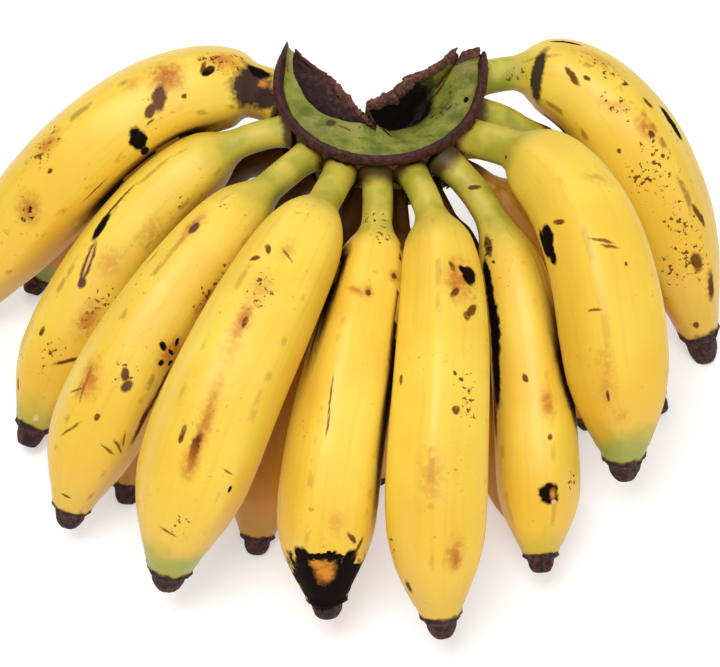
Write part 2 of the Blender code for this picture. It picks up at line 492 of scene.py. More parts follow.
class PeelGroup(EffectGroup):
    """The peel before its marks: yellow body, green neck and end, the dry brown tip, and shade painted on
    its undersides and towards its lower end.
    """

    name = "banana peel"
    inputs = (
        Socket("Seed", "Vector"),
        Socket("Sunny", "Color"),
        Socket("Golden", "Color"),
        Socket("Shade", "Float", 0.0),
        Socket("Neck Green", "Float", 1.0),
        Socket("Neck Reach", "Float", 0.2),
        Socket("Root Reach", "Float", 0.03),
        Socket("Tip Green", "Float", 0.3),
        Socket("Age", "Float", 0.5),
    )
    outputs = (
        Socket("Colour", "Color"),
        Socket("Roughness", "Float"),
        Socket("Height", "Float"),
    )

    neck_olive = srgb(196, 182, 66)
    neck_deep = srgb(150, 152, 42)
    tip_green = srgb(132, 150, 42)
    fleck_brown = srgb(128, 78, 26)
    ridge_amber = srgb(206, 146, 36)
    root_brown_and_shade = srgb(58, 24, 16)
    dry_brown = srgb(88, 46, 38)
    dry_dark = srgb(30, 13, 11)
    underside_shade_amber = srgb(182, 112, 14)

    def fill(self, t: Tree, given: bpy.types.Node, result: bpy.types.Node) -> None:
        """Add the nodes of the peel, from the broad tones to the dry tip.

        Args:
            t: The helper for the group's tree.
            given: The node of the group's inputs.
            result: The node of the group's outputs.
        """
        inp = given.outputs
        place = t.vector("ADD", t.object_place(), inp["Seed"]).outputs[0]
        skin = t.add("UVMap", uv_map=SKIN_UV)
        split = t.add("SeparateXYZ", {0: skin.outputs[0]})
        round_share, station = split.outputs["X"], split.outputs["Y"]
        wavy = t.math("MULTIPLY_ADD", t.noise(place, 70.0, 3.0), 0.10, -0.05)
        station_wavy = t.math("ADD", station, wavy)
        broad = t.step(t.noise(place, 38.0, 2.0), 0.32, 0.68)
        # Painted shade: the body turns golden towards its lower end, where less light falls
        lower_end_shade = t.step(station_wavy, 0.55, 0.95)
        body = t.mix(t.math("MULTIPLY", broad, 0.45), inp["Sunny"], inp["Golden"])
        body = t.mix(t.math("MULTIPLY", lower_end_shade, 0.75), body, inp["Golden"])
        streak_place = t.add(
            "CombineXYZ", {"X": t.math("MULTIPLY", round_share, 46.0), "Y": t.math("MULTIPLY", station, 3.0)}
        )
        streak = t.noise(t.vector("ADD", streak_place.outputs[0], inp["Seed"]).outputs[0], 1.0, 4.0)
        body = t.mix(t.step(streak, 0.50, 0.75, 0.0, 0.16), body, self.ridge_amber)
        # Painted shade: skin that faces down turns amber, and so does a whole finger as far as its Shade
        # share goes
        down = t.add("SeparateXYZ", {0: t.add("TexCoord").outputs["Normal"]}).outputs["Z"]
        under = t.step(down, -0.60, 0.40, 0.50, 0.0)
        body = t.mix(t.math("MAXIMUM", inp["Shade"], under), body, self.underside_shade_amber)
        ridge = t.math("SINE", t.math("MULTIPLY", round_share, 2 * math.pi * RIDGES))
        crest = t.step(ridge, 0.90, 1.0)
        worn = t.step(t.noise(place, 130.0, 3.0), 0.52, 0.66)
        worn = t.math("MULTIPLY", t.math("MULTIPLY", crest, worn), t.math("MULTIPLY", inp["Age"], 0.7))
        body = t.mix(worn, body, self.fleck_brown)
        fine = t.noise(place, 620.0, 2.0)
        patches = t.step(t.noise(place, 60.0, 3.0), 0.50, 0.72)
        flecks = t.math("MULTIPLY", t.step(fine, 0.64, 0.72), patches)
        flecks = t.math("MULTIPLY", flecks, inp["Age"])
        body = t.mix(flecks, body, self.fleck_brown)
        green_edge = t.math("SUBTRACT", inp["Neck Reach"], station_wavy)
        green = t.math("MULTIPLY", t.step(green_edge, -0.07, 0.06), inp["Neck Green"])
        neck = t.mix(t.step(t.noise(place, 90.0, 3.0), 0.38, 0.66), self.neck_olive, self.neck_deep)
        body = t.mix(green, body, neck)
        tip = t.math("MULTIPLY", t.step(station_wavy, 0.865, 0.925), inp["Tip Green"])
        body = t.mix(tip, body, self.tip_green)
        torn = t.math("MULTIPLY_ADD", t.noise(place, 300.0, 3.0), 0.020, -0.010)
        station_torn = t.math("ADD", station, torn)
        # Dark brown from the root: the dried base of the neck, and on the inner row painted shade as well,
        # as far as Root Reach goes
        root = t.step(station_torn, t.math("MULTIPLY", inp["Root Reach"], 0.4), inp["Root Reach"], 1.0, 0.0)
        body = t.mix(t.math("MULTIPLY", root, 0.92), body, self.root_brown_and_shade)
        dry = t.step(station_torn, 0.942, 0.950)
        fibre = t.step(t.noise(place, 420.0, 4.0, 0.65), 0.38, 0.66)
        body = t.mix(dry, body, t.mix(fibre, self.dry_dark, self.dry_brown))
        t.set(result.inputs["Colour"], body)
        rough = t.blend(dry, t.blend(green, 0.40, 0.50), 0.85)
        t.set(result.inputs["Roughness"], rough)
        pores = t.math("MULTIPLY", t.noise(place, 1500.0, 1.0), 0.10)
        waves = t.math("MULTIPLY", t.noise(place, 110.0, 3.0), 0.55)
        crust = t.math("MULTIPLY", t.math("MULTIPLY", fibre, dry), 1.6)
        t.set(result.inputs["Height"], t.math("ADD", t.math("ADD", pores, waves), crust))


@dataclass(frozen=True)
class BlemishFinish:
    """How one kind of mark looks, each share from 0 to 1.

    Dull is how much gloss the peel loses there.
    """

    colour: tuple[float, float, float, float]
    strength: float
    softness: float
    ragged: float
    broken: float = 0.0
    blotchy: float = 0.0
    dull: float = 0.6


class Blemish(Enum):
    """The kinds of mark that ripe peel carries, and SHADE, which is painted shadow."""

    BLACK = BlemishFinish(srgb(20, 10, 8), 1.0, 0.14, 1.0, dull=1.0)
    # Painted shadow, not a mark of the peel: the soft black laid into the crown's hollow
    SHADE = BlemishFinish(srgb(18, 13, 8), 0.93, 0.75, 0.9, dull=1.0)
    BROWN = BlemishFinish(srgb(96, 48, 18), 0.94, 0.22, 1.2, blotchy=0.25, dull=0.9)
    RUST = BlemishFinish(srgb(186, 104, 30), 0.82, 0.70, 1.4, blotchy=0.50)
    BRUISE = BlemishFinish(srgb(88, 50, 44), 0.94, 0.22, 0.9, dull=0.9)
    STAIN = BlemishFinish(srgb(200, 132, 50), 0.55, 0.80, 1.6, blotchy=0.7)
    SPECKS = BlemishFinish(srgb(98, 52, 20), 0.92, 0.85, 0.8, broken=1.0, dull=0.8)
    DARK_SPECKS = BlemishFinish(srgb(34, 16, 12), 1.0, 0.70, 0.8, broken=0.85, dull=1.0)
    SCRATCH = BlemishFinish(srgb(112, 58, 22), 0.88, 0.35, 2.6, blotchy=0.3, dull=0.8)
    SEAM = BlemishFinish(srgb(84, 30, 14), 0.95, 0.35, 1.4, blotchy=0.2, dull=0.9)
    SCAB = BlemishFinish(srgb(62, 40, 44), 0.97, 0.20, 0.9, dull=1.0)
    RING = BlemishFinish(srgb(50, 36, 32), 0.97, 0.20, 0.3, dull=1.0)
    PALE = BlemishFinish(srgb(232, 190, 132), 0.85, 0.30, 0.8)
    ORANGE = BlemishFinish(srgb(214, 138, 48), 0.92, 0.45, 1.4, blotchy=0.35)


@dataclass(frozen=True)
class Mark:
    """A mark that the photograph shows: its kind, its pixel, its half sizes and its lean.

    The half length and half width are in millimetres, and the lean in degrees from the finger's length.
    """

    kind: Blemish
    at: tuple[float, float]
    length: float
    width: float
    lean: float = 0.0


@dataclass(frozen=True)
class PlacedMark:
    """A mark whose place on the skin is known."""

    kind: Blemish
    centre: Vector
    along: Vector
    length: float
    width: float


@dataclass(frozen=True)
class PeelFinish:
    """The colours and the ripeness of one finger's peel, and how much shade is painted into it, each share
    from 0 to 1.
    """

    sunny: tuple[float, float, float, float] = srgb(243, 208, 74)
    golden: tuple[float, float, float, float] = srgb(229, 178, 38)
    shade: float = 0.0
    neck_green: float = 0.85
    neck_reach: float = 0.20
    root_reach: float = 0.032
    tip_green: float = 0.25
    age: float = 0.5
    gloom: float = -0.05

    def material(self, name: str, seed: Vector, marks: list[PlacedMark]) -> bpy.types.Material:
        """Build the peel's material.

        Args:
            name: The material's name.
            seed: Where this finger's patterns start, so that no two are alike.
            marks: The marks to lay over the peel, in order.

        Returns:
            The material.
        """
        material = bpy.data.materials.new(name)
        material.use_nodes = True
        t = Tree(material.node_tree)
        shader = material.node_tree.nodes["Principled BSDF"]
        peel = t.group(
            PeelGroup().tree(),
            Seed=seed,
            Sunny=self.sunny,
            Golden=self.golden,
            Shade=self.shade,
            Neck_Green=self.neck_green,
            Neck_Reach=self.neck_reach,
            Root_Reach=self.root_reach,
            Tip_Green=self.tip_green,
            Age=self.age,
        )
        colour = lay_marks(t, peel.outputs["Colour"], marks)
        bump = t.add("Bump", {"Strength": 0.55, "Distance": 0.0005, "Height": peel.outputs["Height"]})
        depth = crevice_depth(t, self.gloom)
        dull = t.math("MAXIMUM", colour.dull, t.step(depth, 0.40, 0.62))
        # Painted shade darkens the colour where the skin lies deep between the others
        t.set(shader.inputs["Base Color"], painted_crevice_shade(t, colour.skin, depth))
        t.set(shader.inputs["Roughness"], t.blend(dull, peel.outputs["Roughness"], 0.80))
        t.set(shader.inputs["Specular IOR Level"], t.blend(dull, 0.45, 0.06))
        t.set(shader.inputs["Normal"], bump.outputs[0])
        return material


class MarkedSkin(NamedTuple):
    """The colour of a skin with its marks, and how dull the marks make it."""

    skin: bpy.types.NodeSocket
    dull: bpy.types.NodeSocket


def lay_marks(t: Tree, skin: bpy.types.NodeSocket, marks: list[PlacedMark]) -> MarkedSkin:
    """Lay marks over a skin's colour, in order.

    Args:
        t: The material's tree.
        skin: The colour without marks.
        marks: The marks.

    Returns:
        The colour with them, and their dullness.
    """
    grain = t.group(GrainGroup().tree()).outputs
    dull = 0.0
    for mark in marks:
        finish = mark.kind.value
        mask = t.group(
            MarkGroup().tree(),
            Warp=grain["Warp"],
            Speck=grain["Speck"],
            Blotch=grain["Blotch"],
            Centre=mark.centre,
            Along=mark.along,
            Length=mark.length,
            Width=mark.width,
            Softness=finish.softness,
            Ragged=finish.ragged,
            Broken=finish.broken,
            Blotchy=finish.blotchy,
            Strength=finish.strength,
        ).outputs["Mask"]
        skin = t.mix(mask, skin, finish.colour)
        dull = t.math("MAXIMUM", dull, t.math("MULTIPLY", mask, finish.dull))
    return MarkedSkin(skin, dull)


# Painted shade: the colours laid into the skins where they lie deep between their neighbours
CREVICE_SHADE_BROWN = srgb(108, 54, 12)
CREVICE_SHADOW_BLACK = srgb(28, 11, 7)


def crevice_depth(t: Tree, gloom: float = 0.0) -> bpy.types.NodeSocket:
    """Read how deep a skin lies between its neighbours.

    Args:
        t: The material's tree.
        gloom: What is added for a piece that lies under others, so that more shade is painted on it.

    Returns:
        The depth, 0 in the open and 1 where nothing but the neighbours is seen.
    """
    depth = t.add("Attribute", attribute_name=Crevices.layer).outputs["Fac"]
    return t.math("ADD", depth, gloom)


def painted_crevice_shade(t: Tree, skin: bpy.types.NodeSocket, depth: bpy.types.NodeSocket) -> bpy.types.NodeSocket:
    """Paint shade into a skin where it lies deep between its neighbours: brown, then near black in the
    deepest gaps.

    Args:
        t: The material's tree.
        skin: The skin's colour in the open.
        depth: How deep it lies, from crevice_depth.

    Returns:
        The colour with the painted shade.
    """
    skin = t.mix(t.step(depth, 0.44, 0.74, 0.0, 0.85), skin, CREVICE_SHADE_BROWN, "DARKEN")
    return t.mix(t.step(depth, 0.60, 0.86, 0.0, 0.97), skin, CREVICE_SHADOW_BLACK, "DARKEN")


class Crevices:
    """Measures how closed in each point of the skins is by the pieces round it, for the shade that the
    materials paint.
    """

    layer = "crevice"
    reach = 0.025
    start = 0.0008
    rays = 14
    golden_angle = math.pi * (3 - math.sqrt(5))

    def __init__(self, skins: list[bmesh.types.BMesh]) -> None:
        """Gather all the skins in one tree, and spread the rays over a half sphere.

        Args:
            skins: The meshes of all the pieces, in the frame.
        """
        points, faces = [], []
        for bm in skins:
            bm.verts.index_update()
            first = len(points)
            points += [vert.co.copy() for vert in bm.verts]
            faces += [[first + vert.index for vert in face.verts] for face in bm.faces]
        self.tree = BVHTree.FromPolygons(points, faces)
        self.directions = []
        for k in range(self.rays):
            share = (k + 0.5) / self.rays
            turn = k * self.golden_angle
            flat = math.sqrt(share)
            self.directions.append(
                Vector((flat * math.cos(turn), flat * math.sin(turn), math.sqrt(1 - share)))
            )

    def depth_at(self, point: Vector, normal: Vector) -> float:
        """Give how closed in a point is: 0 in the open, near 1 where everything round it is close.

        Args:
            point: A point on a skin.
            normal: The skin's direction there.

        Returns:
            The depth, from 0 to 1.
        """
        turn = normal.to_track_quat("Z", "Y").to_matrix()
        start = point + normal * self.start
        depth = 0.0
        for direction in self.directions:
            distance = self.tree.ray_cast(start, turn @ direction, self.reach)[3]
            if distance is not None:
                depth += 1 - distance / self.reach
        return depth / self.rays

    def mark(self, bm: bmesh.types.BMesh) -> None:
        """Store the depth of every vertex of one skin in a layer of its mesh.

        Args:
            bm: The skin's mesh.
        """
        layer = bm.verts.layers.float.new(self.layer)
        bm.normal_update()
        for vert in bm.verts:
            vert[layer] = self.depth_at(vert.co, vert.normal)


@dataclass(frozen=True)
class FingerForm:
    """One banana's form in millimetres: its neck's bearing and height on the crown's wall, two guide
    points, its tip, its girths, the shares of its length where the neck and the belly end, and its roll."""

    bearing: float
    root_z: float
    rise: tuple[float, float, float]
    fall: tuple[float, float, float]
    tip: tuple[float, float, float]
    girth: float
    neck_girth: float = 10.0
    neck: float = 0.20
    belly: float = 0.72
    roll: float = 0.0


# Shares of the common length where the neck and the belly end, and how the girth changes along it
SHAPE_NECK = 0.20
SHAPE_BELLY = 0.72
SWELL = (
    (0.0, 0.0), (0.13, 0.0), (0.16, 0.10), (0.19, 0.34), (0.22, 0.53), (0.28, 0.69),
    (0.38, 0.81), (0.52, 0.92), (0.65, 0.985), (0.72, 1.0),
)
TAPER = (
    (0.72, 1.0), (0.78, 0.95), (0.84, 0.77), (0.885, 0.52), (0.925, 0.27), (0.945, 0.15),
    (0.955, 0.11), (0.964, -0.02), (0.985, -0.08), (1.0, -0.18),
)
TIP_SHARE = 0.34
RIDGES = 5
RIDGE_HEIGHT = 0.028
RIDGE_CREST = 0.012


class MarkedPiece:
    """A piece of the hand whose marks are found under their pixels in the photograph."""

    marks: tuple[Mark, ...] = ()

    def lengthwise(self, point: Vector) -> Vector:
        """Give the direction that the marks near a point of the frame run in."""
        return Vector((1, 0, 0))

    def skin_point(
        self, tree: BVHTree, camera: PhotoCamera, pixel: tuple[float, float]
    ) -> tuple[Vector, Vector]:
        """Find the skin under a pixel, or the skin nearest to its ray where the ray just misses.

        Args:
            tree: The skin's faces.
            camera: The camera that the pixel belongs to.
            pixel: The pixel.

        Returns:
            The point and the way that the skin faces there.
        """
        eye, ray = camera.place(), camera.ray(pixel)
        point, normal = tree.ray_cast(eye, ray)[:2]
        if point is not None:
            return point, normal
        point = eye + ray * camera.distance
        for _ in range(4):
            skin, normal = tree.find_nearest(point)[:2]
            point = eye + ray * (skin - eye).dot(ray)
        return skin, normal

    def place_marks(self, bm: bmesh.types.BMesh, camera: PhotoCamera) -> list[PlacedMark]:
        """Find the place of each mark on the skin.

        Args:
            bm: The finished skin.
            camera: The camera whose pixels the marks are given in.

        Returns:
            The marks in the order in which they are laid.
        """
        tree = BVHTree.FromBMesh(bm)
        placed = []
        for mark in self.marks:
            centre, normal = self.skin_point(tree, camera, mark.at)
            forward = self.lengthwise(centre)
            forward = (forward - normal * forward.dot(normal)).normalized()
            along = Matrix.Rotation(math.radians(mark.lean), 3, normal) @ forward
            placed.append(PlacedMark(mark.kind, centre, along, mark.length * MM, mark.width * MM))
        return placed


class Row(NamedTuple):
    """One row of a finger's skin: its place on the centreline, in millimetres, and its directions."""

    place: Vector
    forward: Vector
    side: Vector
    up: Vector


class Banana(MarkedPiece):
    """One finger of the hand: its form, its peel, its marks and its mesh.

    The rows of the mesh are closer together towards the tip, and the last of them close the dry end.
    """

    around = 64
    along = 150
    cap_share = 0.965
    root_depth = 1.2

    body_rows = 0.70
    body_pace = 1.12
    tip_pace = 0.72

    root_flare = 0.10
    root_flare_end = 0.05
    foot_flare = 0.22
    foot_flare_length = 0.012

    ridges_end = 0.93
    crest_angle = 0.17
    crest_mean = 0.25
    lump = 0.016
    dry_start = 0.945
    collar_station = 0.960
    collar_length = 0.0045
    collar_height = 0.18
    dry_lump = 0.06

    nub_shrink = 0.95
    nub_bulge = 0.9
    nub_turn = 2.2
    nub_sink = 1.2

    hidden_marks = 5
    hidden_tries = 30
    hidden_rows = (0.25, 0.75)
    hidden_lengths = (1.5, 5.0)
    hidden_widths = (0.7, 2.2)
    hidden_lean = 0.15

    def __init__(
        self, node: str, form: FingerForm, finish: PeelFinish, marks: tuple[Mark, ...] = ()
    ) -> None:
        """Keep what this finger is made from.

        Args:
            node: The frame's node that the finger replaces.
            form: Its sizes.
            finish: Its peel.
            marks: The marks that the photograph shows on it.
        """
        self.node = node
        self.form = form
        self.finish = finish
        self.marks = marks
        self.random = random.Random(node)
        self.seed = Vector([self.random.uniform(-9, 9) for _ in range(3)])
        self.line, self.lengths = self.centreline()
        self.rows = self.upright_rows()

    def centreline(self, samples: int = 400) -> tuple[list[Vector], list[float]]:
        """Give the points along the finger's middle and the length run at each, in millimetres.

        Args:
            samples: How many points each curve is cut into.

        Returns:
            The points, and the length from the root to each of them.
        """
        form = self.form
        angle = math.radians(form.bearing)
        start = WALL_RADIUS - self.root_depth
        root = Vector((start * math.sin(angle), -start * math.cos(angle), form.root_z))
        line = interpolate_bezier(root, Vector(form.rise), Vector(form.fall), Vector(form.tip), samples)
        lengths = [0.0]
        for a, b in zip(line, line[1:]):
            lengths.append(lengths[-1] + (b - a).length)
        return line, lengths

    def station(self, share: float) -> float:
        """Turn a share of the mesh's rows into a station: the last rows close the dry end.

        Args:
            share: The share of the rows, from 0 at the root to 1.

        Returns:
            The station, a share of the length from root to tip.
        """
        if share >= self.cap_share:
            return 1.0
        body = share / self.cap_share
        if body < self.body_rows:
            return body * self.body_pace
        return self.body_rows * self.body_pace + (body - self.body_rows) * self.tip_pace

    def length_share(self, station: float) -> float:
        """Turn a station into a share of this finger's own length.

        Args:
            station: The place in the tables of the form.

        Returns:
            The share of the finger's length.
        """
        knots = (
            (0.0, 0.0), (SHAPE_NECK, self.form.neck), (SHAPE_BELLY, self.form.belly), (1.0, 1.0)
        )
        return straight(knots, station)

    def point_at(self, length_share: float) -> tuple[Vector, Vector]:
        """Give the point and the direction of the centreline at a share of its length.

        Args:
            length_share: The share of the length, from 0 at the root to 1.

        Returns:
            The point in millimetres and the direction there.
        """
        goal = length_share * self.lengths[-1]
        last = len(self.lengths) - 2
        i = next((k for k in range(last) if self.lengths[k + 1] >= goal), last)
        span = self.lengths[i + 1] - self.lengths[i]
        place = self.line[i].lerp(self.line[i + 1], (goal - self.lengths[i]) / span)
        return place, (self.line[i + 1] - self.line[i]).normalized()

    def upright_rows(self) -> list[Row]:
        """Give every row of the skin, from the root to the tip, with no twist along the finger.

        Returns:
            The rows in order.
        """
        rows = []
        up = Vector((0, 0, 1))
        for k in range(self.along + 1):
            place, forward = self.point_at(self.length_share(self.station(k / self.along)))
            before = rows[-1].forward if rows else forward
            up = before.rotation_difference(forward) @ up
            up = (up - forward * up.dot(forward)).normalized()
            rows.append(Row(place, forward, forward.cross(up), up))
        return rows

    def radius(self, station: float) -> float:
        """Give the mean radius in millimetres at a station.

        Args:
            station: The place along the finger, from 0 at the root to 1.

        Returns:
            The radius before ridges and lumps.
        """
        body = self.form.girth / 2
        if station < SHAPE_BELLY:
            flare = 1 + self.root_flare * max(0.0, 1 - station / self.root_flare_end)
            flare += self.foot_flare * math.exp(-station / self.foot_flare_length)
            neck = self.form.neck_girth / 2 * flare
            return neck + (body - neck) * eased(SWELL, station)
        tip = body * TIP_SHARE
        return tip + (body - tip) * eased(TAPER, station)

    def relief(self, station: float, angle: float) -> float:
        """Give the radius's factor for the ridges, the lumps and the ragged dry end.

        Args:
            station: The station along the finger.
            angle: The angle round it, in radians.

        Returns:
            The factor, near one.
        """
        ridge = min(1.0, station / SHAPE_NECK) * (1.0 if station < self.ridges_end else 0.0)
        apart = math.remainder(angle, 2 * math.pi / RIDGES)
        factor = 1 + ridge * RIDGE_HEIGHT * math.cos(RIDGES * angle)
        factor += ridge * RIDGE_CREST * (math.exp(-((apart / self.crest_angle) ** 2)) - self.crest_mean)
        ring = Vector((math.cos(angle), math.sin(angle), 0))
        factor += self.lump * noise.noise(ring * 1.1 + Vector((0, 0, station * 5)) + self.seed)
        if station > self.dry_start:
            collar = math.exp(-(((station - self.collar_station) / self.collar_length) ** 2))
            teeth = 0.5 + noise.noise(ring * 4.5 + self.seed)
            factor += collar * self.collar_height * teeth
            factor += self.dry_lump * noise.noise(ring * 3.5 + Vector((0, 0, station * 60)) + self.seed)
        return factor

    def bend(self, bm: bmesh.types.BMesh) -> None:
        """Bend a flat grid round the finger's centreline, and give its skin the UV map of its rows.

        Args:
            bm: The grid, one unit wide.
        """
        uv = bm.loops.layers.uv.new(SKIN_UV)
        for face in bm.faces:
            for loop in face.loops:
                share = loop.vert.co.y + 0.5
                beyond = max(0.0, share - self.cap_share)
                loop[uv].uv = (loop.vert.co.x + 0.5, self.station(share) + beyond)
        for vert in bm.verts:
            share = vert.co.y + 0.5
            place, forward, side, up = self.rows[round(share * self.along)]
            station = self.station(share)
            angle = 2 * math.pi * vert.co.x + math.pi / 2
            radius = self.radius(station) * self.relief(station, angle)
            if share > self.cap_share:
                inward = (share - self.cap_share) / (1 - self.cap_share)
                radius *= 1 - self.nub_shrink * inward
                bulge = self.nub_bulge * math.sin(inward * self.nub_turn)
                place = place + forward * (bulge - self.nub_sink * inward**2)
            turned = angle + math.radians(self.form.roll)
            point = place + (side * math.cos(turned) + up * math.sin(turned)) * radius
            point.z = max(point.z, 0.0)
            vert.co = to_frame(point)

    def loft(self) -> bmesh.types.BMesh:
        """Make the finger's closed skin.

        Returns:
            The mesh in the frame.
        """
        bm = bmesh.new()
        bmesh.ops.create_grid(bm, x_segments=self.around, y_segments=self.along, size=0.5)
        self.bend(bm)
        bmesh.ops.remove_doubles(bm, verts=bm.verts, dist=1e-6)
        bmesh.ops.edgeloop_fill(bm, edges=[e for e in bm.edges if e.is_boundary])
        bmesh.ops.recalc_face_normals(bm, faces=bm.faces)
        for face in bm.faces:
            face.smooth = True
        return bm

    def lengthwise(self, point: Vector) -> Vector:
        """Give the finger's direction at its row nearest to a point of the frame."""
        return min(self.rows, key=lambda row: (to_frame(row.place) - point).length_squared).forward

    def unseen_marks(self, camera: PhotoCamera) -> list[PlacedMark]:
        """Scatter a few small marks over the sides that face away from the camera.

        Args:
            camera: The camera of the photograph.

        Returns:
            The marks with their places.
        """
        kinds = (Blemish.BROWN, Blemish.RUST, Blemish.SPECKS, Blemish.STAIN, Blemish.SCRATCH)
        away = camera.axes()[2]
        first, last = (int(self.along * share) for share in self.hidden_rows)
        placed = []
        for _ in range(self.hidden_tries):
            if len(placed) == self.hidden_marks:
                break
            row = self.random.randrange(first, last)
            place, forward, side, up = self.rows[row]
            angle = self.random.uniform(0, 2 * math.pi)
            outward = side * math.cos(angle) + up * math.sin(angle)
            kind = self.random.choice(kinds)
            length = self.random.uniform(*self.hidden_lengths)
            width = self.random.uniform(*self.hidden_widths)
            if outward.dot(away) > self.hidden_lean:
                centre = to_frame(place + outward * self.radius(self.station(row / self.along)))
                placed.append(PlacedMark(kind, centre, forward, length * MM, width * MM))
        return placed

    def build(self, bm: bmesh.types.BMesh, camera: PhotoCamera) -> bpy.types.Object:
        """Dress the finger's skin and tie it to the frame.

        Args:
            bm: The finished skin.
            camera: The camera whose pixels its marks are given in.

        Returns:
            The finished piece.
        """
        marks = self.unseen_marks(camera) + self.place_marks(bm, camera)
        material = self.finish.material(f"{self.node}_peel", self.seed, marks)
        piece = new_piece(f"{self.node}_skin", bm, material)
        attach(piece, "root")
        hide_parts(self.node)
        LOG.info("%s: %d marks, %d faces", piece.name, len(marks), len(piece.data.polygons))
        return piece


def new_piece(name: str, bm: bmesh.types.BMesh, material: bpy.types.Material) -> bpy.types.Object:
    """Make an object with one material from a finished mesh, and free the mesh code's copy.

    Args:
        name: The object's name.
        bm: The finished mesh.
        material: Its material.

    Returns:
        The object, linked to the scene.
    """
    mesh = bpy.data.meshes.new(name)
    bm.to_mesh(mesh)
    bm.free()
    mesh.materials.append(material)
    piece = bpy.data.objects.new(name, mesh)
    bpy.context.scene.collection.objects.link(piece)
    return piece


class Zone(Enum):
    """The parts of the crown's outline, by the name of the mesh attribute that holds each one's share."""

    WALL = "wall"
    RIM = "rim"
    FLESH = "flesh"
    FLAP = "flap"


class Corner(NamedTuple):
    """One corner of the crown's outline in millimetres: its zone, how torn it is, and how black it is
    painted for the hollow's shadow over partly rotten tissue.
    """

    radius: float
    height: float
    zone: Zone
    torn: float = 0.0
    black: float = 0.0


class Cut(NamedTuple):
    """The crown's cut face at one bearing, in millimetres.

    It runs inwards from the rim over the edge of the flesh to the foot of the torn flap. Wide is how far
    the crown has its full width there, from 0 to 1, and ragged how far its torn edge stands out.
    """

    bearing: float
    inner: float
    edge: float
    foot: float
    wide: float
    ragged: float
    scoop: float
    top: float
    floor: float


@dataclass(frozen=True)
class CrownForm:
    """The crown's sizes in millimetres and its bearings in degrees from the front."""

    wall_bottom: float = 57.0
    wall_top: float = 84.5
    rim_top: float = 89.5
    rim_width: float = 3.2
    left_end: float = -114.0
    right_end: float = 113.0
    flap: float = 3.2
    face_drop: float = 3.2
    full_width: float = 18.0
    notch: float = -3.0
    notch_run: float = 20.0
    end_run: float = 4.0
    rim_radius: tuple = ((-114, 34.5), (-60, 35.0), (80, 35.5), (96, 36.5), (113, 38.0))
    back_radius: tuple = (
        (-114, 30.0), (-106, 20.5), (-96, 15.5), (-85, 13.0), (-60, 11.0), (-40, 10.8),
        (-24, 12.4), (-12, 14.0), (-4, 15.4), (-2, 14.6), (0, 10.0), (4, 7.6), (20, 6.0),
        (66, 7.4), (88, 8.5), (98, 14.0), (105, 19.0), (113, 26.0),
    )
    back_top: tuple = (
        (-114, 88.5), (-70, 87.0), (-20, 84.5), (-4, 84.5), (1, 88.0), (70, 90.0), (113, 90.5)
    )
    scoop: tuple = (
        (-114, 1.5), (-80, 5.0), (-30, 6.0), (0, 11.0), (30, 17.0), (75, 17.0), (100, 8.0), (113, 3.0)
    )
    flesh_inner: tuple = (
        (-114, 31.4), (-88, 26.0), (-61, 23.0), (-41, 19.8), (-20, 17.4), (-8, 16.4), (4, 15.6),
        (30, 14.5), (50, 16.5), (90, 19.5), (104, 24.0), (113, 28.0),
    )
    # How black the hollow is painted at each bearing: painted shadow under the torn lip, over partly rotten
    # tissue
    blackness: tuple = (
        (-20, 0.0), (-4, 0.8), (4, 1.0), (72, 1.0), (86, 0.85), (98, 0.50), (113, 0.1)
    )
    overhang: tuple = ((-4, 0.0), (-1, 24.0), (12, 14.0), (32, 0.0))
    rim_lead: tuple = ((-114, 4.5), (-100, 0.0), (92, 0.0), (113, 5.0))
    # By radius: how much of the overhang and of the rim's lead applies, and how high the end's lip stands
    overhang_reach: tuple = ((11.0, 1.0), (17.0, 0.0))
    rim_reach: tuple = ((26.0, 0.0), (36.0, 1.0))
    end_lift: tuple = ((27.0, 1.2), (30.0, 5.2))


